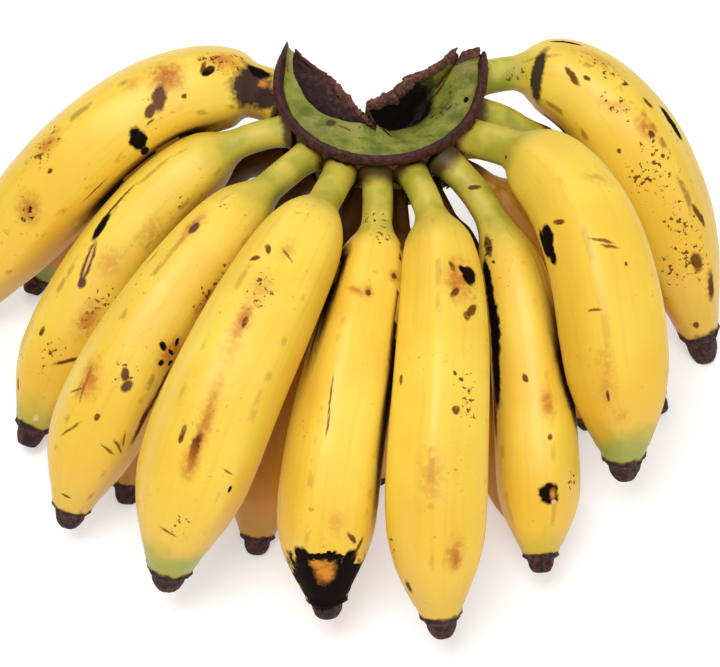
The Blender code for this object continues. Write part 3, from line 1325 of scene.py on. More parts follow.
class CrownGroup(EffectGroup):
    """The crown's tissue: green cut flesh, dark reddish rim, torn dry flaps, and a hollow painted black for
    its shadow over partly rotten tissue.
    """

    name = "crown tissue"
    inputs = (Socket("Seed", "Vector"),)
    outputs = (
        Socket("Colour", "Color"),
        Socket("Roughness", "Float"),
        Socket("Height", "Float"),
    )

    flesh_light = srgb(144, 144, 54)
    flesh_deep = srgb(94, 104, 24)
    flesh_grey = srgb(164, 154, 92)
    rim_red = srgb(92, 36, 30)
    rim_dark = srgb(38, 12, 11)
    flap_dark = srgb(34, 18, 20)
    flap_light = srgb(86, 54, 52)
    edge_pink = srgb(150, 98, 78)
    wall_olive = srgb(140, 132, 50)
    wall_brown = srgb(62, 32, 24)
    # The black of the hollow's painted shadow
    black = srgb(14, 9, 7)

    def fill(self, t: Tree, given: bpy.types.Node, result: bpy.types.Node) -> None:
        """Lay the zones over one another by the shares that the mesh holds.

        Args:
            t: The helper for the group's tree.
            given: The node of the group's inputs.
            result: The node of the group's outputs.
        """
        place = t.vector("ADD", t.object_place(), given.outputs["Seed"]).outputs[0]
        share = {zone: t.add("Attribute", attribute_name=zone.value).outputs["Fac"] for zone in Zone}
        torn = t.add("Attribute", attribute_name=Crown.torn).outputs["Fac"]
        hollow_shade_and_rot = t.add("Attribute", attribute_name=Crown.hollow_shade_and_rot).outputs["Fac"]
        fray = t.math("MULTIPLY_ADD", t.noise(place, 330.0, 4.0), 0.44, -0.22)
        clouds = t.step(t.noise(place, 150.0, 4.0, 0.6), 0.34, 0.66)
        fibre = t.step(t.noise(place, 520.0, 4.0, 0.7), 0.36, 0.66)
        spots = t.step(t.noise(place, 420.0, 2.0), 0.66, 0.74)
        wall = t.mix(clouds, self.wall_brown, self.wall_olive)
        flesh = t.mix(clouds, self.flesh_deep, self.flesh_light)
        pale = t.step(t.noise(place, 90.0, 2.0), 0.50, 0.72)
        flesh = t.mix(t.math("MULTIPLY", pale, 0.6), flesh, self.flesh_grey)
        flesh = t.mix(t.math("MULTIPLY", spots, 0.7), flesh, self.wall_brown)
        rim = t.mix(t.math("MULTIPLY", fibre, 0.75), self.rim_dark, self.rim_red)
        flap = t.mix(t.math("MULTIPLY", fibre, 0.50), self.flap_dark, self.flap_light)
        flap = t.mix(t.math("MULTIPLY", torn, t.blend(fibre, 0.35, 1.0)), flap, self.edge_pink)
        colour = wall
        for zone, tone in ((Zone.FLESH, flesh), (Zone.FLAP, flap), (Zone.RIM, rim)):
            mask = t.step(t.math("ADD", share[zone], fray), 0.38, 0.62)
            colour = t.mix(mask, colour, tone)
        # Painted shadow: the hollow under the torn lip turns black, over tissue that is partly rotten
        wide_fray = t.math("MULTIPLY_ADD", t.noise(place, 170.0, 4.0, 0.6), 0.9, -0.45)
        colour = t.mix(t.step(t.math("ADD", hollow_shade_and_rot, wide_fray), 0.30, 0.66), colour, self.black)
        t.set(result.inputs["Colour"], colour)
        smooth = t.math("MAXIMUM", share[Zone.FLESH], share[Zone.RIM])
        t.set(result.inputs["Roughness"], t.blend(smooth, 0.90, 0.52))
        rough_zone = t.math("MULTIPLY_ADD", share[Zone.FLAP], 1.0, 0.30)
        t.set(result.inputs["Height"], t.math("MULTIPLY", fibre, rough_zone))


class Crown(MarkedPiece):
    """The cut crown with its rim, its scooped face and its torn flaps."""

    around = 300
    outline = 170
    seed = Vector((3.1, -4.7, 8.3))
    torn = "torn"
    hollow_shade_and_rot = "hollow_shade_and_rot"

    def __init__(self, form: CrownForm, marks: tuple[Mark, ...]) -> None:
        """Keep the crown's sizes and its marks."""
        self.form = form
        self.marks = marks

    def outline_at(self, bearing: float) -> list[Corner]:
        """Give the corners of the crown's outline in the upright plane at one bearing.

        Args:
            bearing: Degrees from the front.

        Returns:
            The corners in order, once round the outline.
        """
        form = self.form
        rim = straight(form.rim_radius, bearing)
        back = straight(form.back_radius, bearing)
        top = straight(form.back_top, bearing)
        wide = min(1.0, (rim - back) / form.full_width)
        inner = rim - form.rim_width * wide
        foot = back + form.flap * wide
        edge = max(foot + 0.5, min(inner - 1.5, straight(form.flesh_inner, bearing)))
        scoop = straight(form.scoop, bearing)
        floor = form.rim_top - form.face_drop
        cut = Cut(bearing, inner, edge, foot, wide, self.raggedness(bearing), scoop, top, floor)
        wall = [
            Corner(WALL_RADIUS - 4.5 * wide, form.wall_bottom, Zone.WALL),
            Corner(WALL_RADIUS, form.wall_bottom + 4.0, Zone.WALL),
            Corner(WALL_RADIUS, form.wall_top - 6.0, Zone.WALL),
            Corner(WALL_RADIUS, form.wall_top, Zone.WALL),
            Corner(rim - 1.0 * wide, form.wall_top + 0.6, Zone.RIM),
            Corner(rim, form.wall_top + 2.2, Zone.RIM),
            Corner(rim - 0.1 * wide, form.rim_top - 1.4, Zone.RIM),
            Corner(rim - 0.9 * wide, form.rim_top - 0.2, Zone.RIM),
            Corner(rim - 2.1 * wide, form.rim_top - 0.2, Zone.RIM),
            Corner(inner, form.rim_top - 1.5, Zone.RIM),
        ]
        face = self.hollow if bearing > form.notch else self.slab
        outer = [
            Corner(back, top - 1.2 * wide, Zone.FLAP, 0.7),
            Corner(back + 0.2 * wide, top - 9.0, Zone.WALL, 0.2),
            Corner(back + 0.8 * wide, form.wall_bottom, Zone.WALL),
        ]
        return wall + face(cut) + outer

    def raggedness(self, bearing: float) -> float:
        """Give how far the torn edges stand out at a bearing, around zero.

        Args:
            bearing: Degrees from the front.

        Returns:
            A number without a unit, mostly between -1 and 1.
        """
        angle = math.radians(bearing)
        turn = Vector((math.cos(angle), math.sin(angle), 0))
        return noise.noise(turn * 7.0 + self.seed) + 0.6 * noise.noise(turn * 19.0 + self.seed)

    def hollow(self, cut: Cut) -> list[Corner]:
        """Give the right part of the cut face: flesh that falls into a hollow painted black for its shadow,
        and its torn lip.

        Args:
            cut: The cut face's sizes at this bearing.

        Returns:
            The corners from the rim to the back.
        """
        form = self.form
        inner, edge, foot, wide, ragged, scoop, top, floor = cut[1:]
        black = straight(form.blackness, cut.bearing)
        fall = min(1.0, max(0.0, (cut.bearing - form.notch) / form.notch_run))
        lip = foot - form.flap * wide + (1.0 + 0.8 * ragged) * wide
        return [
            Corner(inner - 0.7 * wide, floor + 0.6, Zone.FLESH),
            Corner((inner + edge) / 2, floor - scoop * (0.05 + 0.11 * fall), Zone.FLESH, black=black * 0.06),
            Corner(edge, floor - scoop * (0.12 + 0.38 * fall), Zone.FLESH, black=black * 0.38),
            Corner(edge * 0.60 + foot * 0.40, floor - scoop * 0.80, Zone.FLESH, black=black),
            Corner(edge * 0.20 + foot * 0.80, floor - scoop * 0.85, Zone.FLESH, black=black),
            Corner(foot, floor - scoop * 0.60, Zone.FLESH, black=black),
            Corner(foot - 0.2 * wide, (floor - scoop * 0.6 + top) / 2, Zone.FLESH, black=black),
            Corner(lip + 2.3 * wide, top - 3.6 * wide, Zone.FLESH, black=black),
            Corner(lip + 2.6 * wide, top - 2.6 * wide, Zone.FLAP, 0.8),
            Corner(lip + 2.0 * wide, top - 0.5 + 0.5 * ragged, Zone.FLAP, 1.0),
            Corner(lip - 0.2 * wide, top + 0.2 + 0.7 * ragged, Zone.FLAP, 1.0),
        ]

    def slab(self, cut: Cut) -> list[Corner]:
        """Give the left part of the cut face: a band of flesh in front of a dry, dark slab.

        Args:
            cut: The cut face's sizes at this bearing.

        Returns:
            The corners from the rim to the back.
        """
        inner, edge, foot, wide, ragged, scoop, top, floor = cut[1:]
        lip = foot - self.form.flap * wide + (1.0 + 1.2 * ragged) * wide
        return [
            Corner(inner - 0.7 * wide, floor + 0.6, Zone.FLESH),
            Corner((inner + edge) / 2, floor - scoop * 0.05, Zone.FLESH),
            Corner(edge, floor - scoop * 0.12, Zone.FLESH),
            Corner(edge - 0.6 * wide, floor - scoop * 0.30, Zone.FLAP, black=0.5),
            Corner(edge * 0.6 + foot * 0.4, floor - scoop * 0.10 + 0.6 * ragged, Zone.FLAP),
            Corner(edge * 0.3 + foot * 0.7, floor - scoop * 0.02 + 0.9 * ragged, Zone.FLAP, 0.1),
            Corner(foot, floor, Zone.FLAP, 0.2),
            Corner(lip + 1.4 * wide, top - 1.4 * wide, Zone.FLAP, 0.3),
            Corner(lip + 0.8 * wide, top - 0.7 * wide + 0.5 * ragged, Zone.FLAP, 0.8),
            Corner(lip - 0.8 * wide, top + 0.6 * ragged, Zone.FLAP, 1.0),
        ]

    def section(self, bearing: float) -> list[tuple[Vector, dict[str, float]]]:
        """Walk the outline in equal steps.

        Args:
            bearing: Degrees from the front.

        Returns:
            The point in millimetres and the values for the mesh's attributes at each step.
        """
        corners = self.outline_at(bearing)
        corners.append(corners[0])
        reach = straight(self.form.overhang, bearing)
        lead = straight(self.form.rim_lead, bearing)
        end_lip = max(0.0, 1 - (self.form.right_end - bearing) / self.form.end_run)
        walk = []
        for step in range(self.outline + 1):
            s = step / self.outline * (len(corners) - 1)
            i = min(int(s), len(corners) - 2)
            share = s - i
            start, end = corners[i], corners[i + 1]
            before, after = corners[i - 1], corners[i + 2 if i + 2 < len(corners) else 1]
            radius = curve_through(before.radius, start.radius, end.radius, after.radius, share)
            height = curve_through(before.height, start.height, end.height, after.height, share)
            values = {zone.value: 0.0 for zone in Zone}
            values[start.zone.value] += 1 - share
            values[end.zone.value] += share
            values[self.torn] = start.torn * (1 - share) + end.torn * share
            values[self.hollow_shade_and_rot] = start.black * (1 - share) + end.black * share
            if end_lip > 0 and height > self.form.wall_top:
                flesh = values[Zone.FLESH.value] * min(1.0, end_lip * 2)
                values[Zone.FLESH.value] -= flesh
                values[Zone.FLAP.value] += flesh
                values[self.torn] = max(values[self.torn], flesh)
                lift = straight(self.form.end_lift, radius)
                height += lift * end_lip * (1 - values[Zone.RIM.value])
            shift = reach * straight(self.form.overhang_reach, radius)
            shift += lead * straight(self.form.rim_reach, radius)
            angle = math.radians(bearing - shift)
            walk.append((Vector((radius * math.sin(angle), -radius * math.cos(angle), height)), values))
        return walk

    def roughen(self, point: Vector, values: dict[str, float], outward: Vector) -> Vector:
        """Add the crown's small lumps, fibres and tears to one point, in millimetres.

        Args:
            point: The smooth outline's point.
            values: The values for the mesh's attributes there.
            outward: The level direction away from the crown's middle.

        Returns:
            The moved point.
        """
        rough = 0.12 + 0.55 * values[Zone.FLAP.value] + 0.08 * values[Zone.RIM.value]
        rough += 0.5 * values[self.torn]
        lump = noise.noise(point * 0.35 + self.seed) + 0.7 * noise.noise(point * 0.9 + self.seed)
        return point + outward * lump * rough + Vector((0, 0, 1)) * rough * 0.6 * noise.noise(point * 0.6)

    def loft(self) -> bmesh.types.BMesh:
        """Make the crown's closed skin from a grid of bearings and outline steps.

        Returns:
            The mesh in the frame.
        """
        bm = bmesh.new()
        bmesh.ops.create_grid(bm, x_segments=self.around, y_segments=self.outline, size=0.5)
        names = [zone.value for zone in Zone] + [self.torn, self.hollow_shade_and_rot]
        layers = {name: bm.verts.layers.float.new(name) for name in names}
        span = self.form.right_end - self.form.left_end
        bearings = [self.form.left_end + span * k / self.around for k in range(self.around + 1)]
        sections = [self.section(bearing) for bearing in bearings]
        for vert in bm.verts:
            column = round((vert.co.x + 0.5) * self.around)
            row = round((vert.co.y + 0.5) * self.outline)
            point, values = sections[column][row % self.outline]
            outward = Vector((point.x, point.y, 0)).normalized()
            vert.co = to_frame(self.roughen(point, values, outward))
            for name, layer in layers.items():
                vert[layer] = values[name]
        bmesh.ops.remove_doubles(bm, verts=bm.verts, dist=1e-6)
        bmesh.ops.holes_fill(bm, edges=[e for e in bm.edges if e.is_boundary], sides=0)
        bmesh.ops.recalc_face_normals(bm, faces=bm.faces)
        for face in bm.faces:
            face.smooth = True
        return bm

    def material(self, marks: list[PlacedMark]) -> bpy.types.Material:
        """Build the crown's material, with its marks laid over the tissue.

        Args:
            marks: The crown's marks with their places.

        Returns:
            The material.
        """
        material = bpy.data.materials.new("crown_tissue")
        material.use_nodes = True
        t = Tree(material.node_tree)
        shader = material.node_tree.nodes["Principled BSDF"]
        tissue = t.group(CrownGroup().tree(), Seed=self.seed)
        bump = t.add("Bump", {"Strength": 0.8, "Distance": 0.0008, "Height": tissue.outputs["Height"]})
        marked = lay_marks(t, tissue.outputs["Colour"], marks)
        # Painted shade darkens the crown between the necks and in its hollow, where it lies deep between the
        # pieces
        t.set(shader.inputs["Base Color"], painted_crevice_shade(t, marked.skin, crevice_depth(t)))
        t.set(shader.inputs["Roughness"], t.blend(marked.dull, tissue.outputs["Roughness"], 0.90))
        t.set(shader.inputs["Specular IOR Level"], t.blend(marked.dull, 0.35, 0.10))
        t.set(shader.inputs["Normal"], bump.outputs[0])
        return material

    def build(self, bm: bmesh.types.BMesh, camera: PhotoCamera) -> bpy.types.Object:
        """Dress the crown's skin and tie it to the frame.

        Args:
            bm: The finished skin.
            camera: The camera whose pixels its marks are given in.

        Returns:
            The finished piece.
        """
        piece = new_piece("crown_skin", bm, self.material(self.place_marks(bm, camera)))
        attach(piece, "root")
        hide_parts("crown")
        LOG.info("%s: %d faces", piece.name, len(piece.data.polygons))
        return piece


@dataclass(frozen=True)
class Lamp:
    """A square soft light: where it hangs, how wide it is and how strong, in metres and watts."""

    name: str
    place: tuple[float, float, float]
    side: float
    power: float

    def build(self, target: Vector) -> bpy.types.Object:
        """Make the light and turn it towards the target.

        Args:
            target: The point that it shines at.

        Returns:
            The light's object.
        """
        data = bpy.data.lights.new(self.name, "AREA")
        data.shape = "SQUARE"
        data.size = self.side
        data.energy = self.power
        light = bpy.data.objects.new(self.name, data)
        light.location = self.place
        light.rotation_euler = (target - Vector(self.place)).to_track_quat("-Z", "Y").to_euler()
        bpy.context.scene.collection.objects.link(light)
        return light


class Studio:
    """The pale floor, the soft lights and the sky around them."""

    floor_side = 6.0
    floor_colour = srgb(226, 226, 226)
    floor_glow = 0.42
    sky_colour = (1.0, 1.0, 1.0, 1.0)
    sky_strength = 0.48
    lamps = (
        Lamp("key_light", (-0.16, -0.30, 1.12), 0.50, 6.9),
        Lamp("fill_light", (0.60, -0.70, 0.80), 0.80, 2.4),
        Lamp("back_light", (-0.20, 0.80, 0.90), 0.60, 2.2),
    )

    def floor(self) -> bpy.types.Object:
        """Make the floor that the hand lies on.

        Returns:
            The floor's object.
        """
        bm = bmesh.new()
        bmesh.ops.create_grid(bm, x_segments=4, y_segments=4, size=self.floor_side / 2)
        material = bpy.data.materials.new("pale_floor")
        material.use_nodes = True
        shader = material.node_tree.nodes["Principled BSDF"]
        shader.inputs["Base Color"].default_value = self.floor_colour
        shader.inputs["Roughness"].default_value = 0.9
        shader.inputs["Emission Color"].default_value = self.sky_colour
        shader.inputs["Emission Strength"].default_value = self.floor_glow
        floor = new_piece("floor", bm, material)
        return floor

    def build(self, target: Vector) -> None:
        """Make the floor, the lights and the sky.

        Args:
            target: The point that the lights shine at.
        """
        self.floor()
        for lamp in self.lamps:
            lamp.build(target)
        world = bpy.data.worlds.new("studio")
        world.use_nodes = True
        sky = world.node_tree.nodes["Background"]
        sky.inputs["Color"].default_value = self.sky_colour
        sky.inputs["Strength"].default_value = self.sky_strength
        bpy.context.scene.world = world
        bpy.context.scene.view_settings.view_transform = "Standard"


CROWN_MARKS = (
    # Painted shadow: two soft black SHADE marks in the hollow under the torn lip
    Mark(Blemish.SHADE, (398, 106), 7.5, 4.6, 12),
    Mark(Blemish.SHADE, (424, 96), 5.5, 2.8, 40),
    Mark(Blemish.BLACK, (384, 130), 5.0, 0.6, -42),
    Mark(Blemish.BLACK, (466, 100), 0.9, 1.3),
    Mark(Blemish.BROWN, (449, 108), 1.6, 0.7, 40),
    Mark(Blemish.BRUISE, (331, 123), 1.8, 1.4, 20),
    Mark(Blemish.SCRATCH, (345, 128), 3.0, 0.4, -30),
    Mark(Blemish.SPECKS, (440, 112), 5.0, 3.0, 20),
)

OUTER_ROW = (
    Banana(
        "outer_finger_1",
        FingerForm(-95, 73.5, (-62, 18, 81), (-100, -15, 84), (-149, -40, 1.0), 34.0, 18.0, 0.10, 0.52, 10),
        PeelFinish(neck_green=0.25, neck_reach=0.06, age=0.8),
        (
            Mark(Blemish.RUST, (165, 76), 5.4, 4.8),
            Mark(Blemish.RUST, (169, 77), 3.6, 3.4),
            Mark(Blemish.STAIN, (132, 84), 3.0, 2.2),
            Mark(Blemish.BRUISE, (159, 98), 4.6, 2.3, 60),
            Mark(Blemish.BRUISE, (150, 111), 2.6, 1.6, 40),
            Mark(Blemish.BLACK, (138, 140), 4.4, 2.9, 78),
            Mark(Blemish.BLACK, (145, 151), 1.9, 1.5, 60),
            Mark(Blemish.BLACK, (208, 71), 2.4, 1.6, 30),
            Mark(Blemish.BROWN, (203, 67), 2.2, 0.8, 60),
            Mark(Blemish.RUST, (222, 60), 6.0, 3.0),
            Mark(Blemish.SPECKS, (220, 62), 6.0, 3.0),
            Mark(Blemish.SCAB, (250, 88), 7.5, 7.0),
            Mark(Blemish.SCAB, (266, 99), 4.0, 3.2),
            Mark(Blemish.BLACK, (258, 72), 4.6, 2.2),
            Mark(Blemish.ORANGE, (263, 84), 1.6, 1.3),
            Mark(Blemish.SPECKS, (45, 148), 6.0, 3.5),
            Mark(Blemish.RUST, (28, 208), 5.0, 3.4, 40),
            Mark(Blemish.DARK_SPECKS, (30, 210), 4.0, 2.6, 40),
            Mark(Blemish.RUST, (48, 144), 4.0, 2.4),
            Mark(Blemish.BROWN, (50, 171), 1.0, 0.7),
            Mark(Blemish.BROWN, (184, 96), 1.0, 0.8),
            Mark(Blemish.SCRATCH, (150, 122), 2.0, 0.4, 10),
            Mark(Blemish.SCRATCH, (95, 190), 6.0, 0.35),
        ),
    ),
    Banana(
        "outer_finger_2",
        FingerForm(-64.4, 78, (-62, -13.2, 76.7), (-96, -43, 49), (-118, -90, 6), 29.5, neck=0.19, roll=20),
        PeelFinish(neck_reach=0.19, tip_green=0.6, age=0.7),
        (
            Mark(Blemish.BROWN, (88, 262), 7.5, 1.4, 14),
            Mark(Blemish.PALE, (89, 260), 5.5, 0.45, 14),
            Mark(Blemish.BRUISE, (82, 283), 1.9, 1.3),
            # Painted shadow: a black streak where the first finger shades this one
            Mark(Blemish.BLACK, (101, 226), 5.5, 1.5, 8),
            Mark(Blemish.STAIN, (110, 262), 5.0, 3.5),
            Mark(Blemish.SPECKS, (100, 302), 8.0, 3.0),
            Mark(Blemish.RUST, (88, 320), 6.0, 3.0),
            Mark(Blemish.SEAM, (68, 361), 5.2, 0.7, -50),
            Mark(Blemish.BLACK, (85, 350), 3.2, 0.7),
            Mark(Blemish.BROWN, (42, 331), 1.9, 0.9),
            Mark(Blemish.SPECKS, (52, 352), 5.0, 2.5),
            Mark(Blemish.SPECKS, (182, 205), 3.0, 2.0),
            Mark(Blemish.STAIN, (150, 232), 6.0, 3.0),
            Mark(Blemish.BLACK, (18, 384), 2.2, 0.8),
            Mark(Blemish.PALE, (36, 418), 1.2, 0.9),
            Mark(Blemish.SEAM, (118, 202), 9.0, 0.6),
        ),
    ),
    Banana(
        "outer_finger_3",
        FingerForm(-43, 78, (-46, -50, 87), (-89, -100, 66), (-101, -125, 13), 31.0, roll=5),
        PeelFinish(neck_reach=0.20, tip_green=0.05, age=0.7),
        (
            Mark(Blemish.RUST, (171, 353), 5.0, 3.6),
            Mark(Blemish.BLACK, (163, 346), 1.5, 1.1, 60),
            Mark(Blemish.BLACK, (177, 342), 1.6, 0.7, 20),
            Mark(Blemish.BLACK, (181, 357), 1.7, 1.1, 40),
            Mark(Blemish.BLACK, (161, 363), 1.1, 0.9),
            Mark(Blemish.BLACK, (171, 352), 1.4, 0.6, 70),
            Mark(Blemish.BLACK, (170, 363), 1.1, 0.8),
            Mark(Blemish.BRUISE, (125, 374), 2.2, 1.4, 30),
            Mark(Blemish.BRUISE, (127, 386), 2.3, 1.5, -20),
            Mark(Blemish.SPECKS, (125, 372), 4.0, 3.0),
            Mark(Blemish.SEAM, (155, 398), 13.0, 1.1, 2),
            Mark(Blemish.SEAM, (141, 424), 8.0, 1.2, 4),
            Mark(Blemish.SCRATCH, (86, 382), 7.0, 0.5, 10),
            Mark(Blemish.SCRATCH, (76, 390), 4.0, 0.4, -50),
            Mark(Blemish.SCRATCH, (70, 429), 4.5, 0.5, -33),
            Mark(Blemish.SCRATCH, (118, 446), 5.0, 0.5, 50),
            Mark(Blemish.SCRATCH, (108, 450), 4.0, 0.4, 70),
            Mark(Blemish.SCRATCH, (124, 440), 3.0, 0.4, 20),
            Mark(Blemish.RUST, (90, 378), 6.0, 3.0, 20),
            Mark(Blemish.BROWN, (97, 417), 1.3, 0.9),
            Mark(Blemish.BROWN, (66, 496), 1.6, 0.5, 80),
            Mark(Blemish.RUST, (192, 226), 5.0, 2.4),
            Mark(Blemish.BRUISE, (194, 228), 2.5, 1.2),
            Mark(Blemish.SPECKS, (228, 202), 2.5, 1.5),
            Mark(Blemish.SCRATCH, (153, 257), 3.0, 0.4),
            Mark(Blemish.RUST, (206, 300), 7.0, 1.6),
            Mark(Blemish.SPECKS, (206, 296), 9.0, 1.8),
            Mark(Blemish.BROWN, (202, 314), 1.8, 0.9),
        ),
    ),
    Banana(
        "outer_finger_4",
        FingerForm(-22, 77.5, (-21.3, -73, 101), (-57, -132, 91), (-67, -152, 21), 36.5, 10.5, belly=0.68),
        PeelFinish(neck_reach=0.19, root_reach=0.042, tip_green=0.8, age=0.45),
        (
            Mark(Blemish.RUST, (205, 425), 14.0, 1.8, 4),
            Mark(Blemish.SEAM, (195, 448), 5.0, 1.4, 4),
            Mark(Blemish.RUST, (190, 462), 5.0, 2.2, 4),
            Mark(Blemish.STAIN, (238, 330), 10.0, 3.0, 4),
            Mark(Blemish.RUST, (244, 318), 5.0, 1.6, 4),
            Mark(Blemish.BROWN, (245, 322), 2.0, 0.8, 4),
            Mark(Blemish.BROWN, (183, 432), 2.4, 0.8),
            Mark(Blemish.BROWN, (181, 439), 1.4, 0.8),
            Mark(Blemish.BROWN, (255, 258), 1.8, 0.9, -60),
            Mark(Blemish.BROWN, (268, 249), 2.0, 0.9, 30),
            Mark(Blemish.STAIN, (288, 250), 3.5, 2.0),
            Mark(Blemish.SCRATCH, (288, 256), 3.0, 0.4, 60),
            Mark(Blemish.STAIN, (262, 288), 4.5, 3.0),
            Mark(Blemish.SPECKS, (262, 286), 5.0, 3.0),
            Mark(Blemish.BLACK, (230, 489), 1.2, 0.7),
            Mark(Blemish.SCRATCH, (228, 472), 2.0, 0.4, 70),
            Mark(Blemish.SCRATCH, (168, 532), 3.0, 0.5, 70),
            Mark(Blemish.SPECKS, (180, 524), 3.0, 2.0),
        ),
    ),
    Banana(
        "outer_finger_5",
        FingerForm(-1.2, 78, (3.6, -76, 79), (-21, -127, 67), (-16, -162, 19), 31.5, 9.8, belly=0.75),
        PeelFinish(neck_reach=0.17, root_reach=0.062, tip_green=0.0, age=0.4),
        (
            Mark(Blemish.BLACK, (326, 576), 6.5, 14.0),
            Mark(Blemish.BLACK, (326, 590), 7.0, 14.0),
            Mark(Blemish.BLACK, (302, 557), 3.8, 3.0, 20),
            Mark(Blemish.BLACK, (349, 560), 3.8, 2.4, -20),
            Mark(Blemish.ORANGE, (325, 571), 4.4, 2.8),
            Mark(Blemish.ORANGE, (316, 564), 2.4, 1.6, 40),
            Mark(Blemish.BLACK, (324, 557), 1.5, 6.5),
            Mark(Blemish.BLACK, (328, 601), 4.0, 10.5),
            Mark(Blemish.BROWN, (352, 538), 2.4, 0.8, 40),
            Mark(Blemish.SEAM, (358, 548), 4.0, 0.7, -20),
            Mark(Blemish.RUST, (368, 292), 2.4, 1.6),
            Mark(Blemish.RUST, (356, 290), 3.0, 1.2, 70),
            Mark(Blemish.BROWN, (368, 293), 1.2, 0.8),
            Mark(Blemish.RUST, (394, 276), 2.0, 1.6),
            Mark(Blemish.BROWN, (394, 276), 1.0, 0.9),
            Mark(Blemish.BRUISE, (343, 262), 3.0, 1.4, -20),
            Mark(Blemish.SPECKS, (380, 232), 3.5, 3.0),
            Mark(Blemish.SPECKS, (374, 218), 3.0, 3.0),
            Mark(Blemish.SCRATCH, (330, 400), 9.0, 0.3, 4),
            Mark(Blemish.SCRATCH, (328, 424), 4.0, 0.4),
            Mark(Blemish.SEAM, (329, 300), 12.0, 0.8),
            Mark(Blemish.SEAM, (314, 340), 9.0, 0.6),
            Mark(Blemish.STAIN, (336, 524), 3.0, 2.0),
        ),
    ),
    Banana(
        "outer_finger_6",
        FingerForm(18.5, 78, (31, -79, 91), (11, -138, 78), (20, -169, 20), 31.5, 9.8, roll=12),
        PeelFinish(neck_reach=0.19, root_reach=0.045, tip_green=0.1, age=0.45),
        (
            Mark(Blemish.RUST, (461, 279), 6.5, 4.4),
            Mark(Blemish.RUST, (454, 280), 6.0, 1.4),
            Mark(Blemish.BLACK, (469, 276), 3.4, 2.6),
            Mark(Blemish.BLACK, (463, 270), 1.8, 1.2, 40),
            Mark(Blemish.BROWN, (455, 292), 2.2, 1.0, -40),
            Mark(Blemish.BROWN, (452, 266), 2.0, 0.8, 20),
            Mark(Blemish.BROWN, (472, 310), 2.6, 1.4, -40),
            Mark(Blemish.BROWN, (467, 316), 1.6, 1.2),
            Mark(Blemish.BROWN, (455, 373), 0.8, 0.6, 30),
            Mark(Blemish.BROWN, (461, 379), 0.6, 0.8),
            Mark(Blemish.BROWN, (456, 410), 1.4, 1.4),
            Mark(Blemish.SPECKS, (468, 402), 6.0, 2.4),
            Mark(Blemish.BROWN, (401, 380), 1.6, 0.8),
            Mark(Blemish.RUST, (455, 553), 5.0, 2.8),
            Mark(Blemish.RUST, (456, 561), 2.4, 1.4, 10),
            Mark(Blemish.SEAM, (409, 587), 2.4, 1.1),
            Mark(Blemish.STAIN, (430, 480), 8.0, 3.5),
            Mark(Blemish.SPECKS, (392, 550), 3.0, 1.5),
        ),
    ),
    Banana(
        "outer_finger_7",
        FingerForm(39, 78, (51, -46, 69), (49, -99, 50), (52, -145, 17), 27.0, 10.0, 0.26, 0.78, 18),
        PeelFinish(neck_reach=0.20, root_reach=0.05, tip_green=0.35, age=0.45),
        (
            Mark(Blemish.BLACK, (549, 494), 3.7, 3.3),
            Mark(Blemish.ORANGE, (553, 494), 1.7, 1.0),
            Mark(Blemish.PALE, (554, 502), 0.8, 0.9),
            Mark(Blemish.SEAM, (537, 226), 9.0, 1.8),
            Mark(Blemish.SEAM, (547, 262), 8.0, 1.4),
            Mark(Blemish.RUST, (536, 240), 9.0, 3.4),
            Mark(Blemish.BROWN, (525, 378), 1.6, 0.9, 20),
            Mark(Blemish.RUST, (548, 402), 5.0, 2.0),
            Mark(Blemish.BROWN, (550, 437), 1.1, 0.8),
            Mark(Blemish.BROWN, (488, 246), 4.0, 1.4),
            Mark(Blemish.DARK_SPECKS, (488, 250), 4.5, 2.0),
            Mark(Blemish.BLACK, (451, 188), 1.7, 1.3),
            Mark(Blemish.BROWN, (475, 187), 2.6, 0.8, 60),
            # Painted shadow: a dark band down the left side, for the shaded gap beside the sixth finger
            Mark(Blemish.BLACK, (488, 282), 8.0, 1.8),
            Mark(Blemish.BLACK, (493, 320), 14.0, 2.5),
            Mark(Blemish.BLACK, (495, 366), 14.0, 2.5),
            Mark(Blemish.SEAM, (495, 412), 10.0, 2.0),
            Mark(Blemish.SEAM, (541, 248), 7.0, 1.6),
            Mark(Blemish.SPECKS, (572, 480), 3.5, 1.6),
        ),
    ),
    Banana(
        "outer_finger_8",
        FingerForm(61.5, 76.5, (75, -36, 93), (72, -91, 91), (80, -114, 25), 34.0, 12.5, 0.19, 0.64),
        PeelFinish(neck_reach=0.19, tip_green=0.85, age=0.30),
        (
            Mark(Blemish.BLACK, (548, 236), 4.0, 2.4),
            Mark(Blemish.BLACK, (551, 252), 4.4, 1.9),
            Mark(Blemish.BLACK, (544, 244), 5.0, 1.6),
            Mark(Blemish.BROWN, (559, 222), 2.4, 0.9, 60),
            Mark(Blemish.SCRATCH, (600, 240), 6.0, 0.5, 65),
            Mark(Blemish.SCRATCH, (610, 246), 3.0, 0.6, 70),
            Mark(Blemish.SCRATCH, (594, 310), 3.0, 0.5, 85),
            Mark(Blemish.BLACK, (639, 214), 3.2, 0.9),
            Mark(Blemish.STAIN, (606, 388), 6.0, 3.0, -10),
            Mark(Blemish.BRUISE, (608, 396), 2.0, 0.6),
            Mark(Blemish.STAIN, (622, 416), 3.0, 2.2),
            Mark(Blemish.STAIN, (598, 178), 5.0, 2.0, 60),
            Mark(Blemish.BROWN, (506, 157), 0.8, 0.7),
            Mark(Blemish.BROWN, (626, 264), 0.7, 0.5),
            Mark(Blemish.STAIN, (604, 360), 4.0, 2.5),
        ),
    ),
    Banana(
        "outer_finger_9",
        FingerForm(106, 76.5, (80, 29, 79), (94, -28, 70), (114, -51, 0.4), 34.0, 11.5, 0.16, 0.50, 8),
        PeelFinish(neck_reach=0.15, neck_green=1.0, tip_green=0.1, age=1.0),
        (
            Mark(Blemish.RING, (537, 76), 2.5, 9.6),
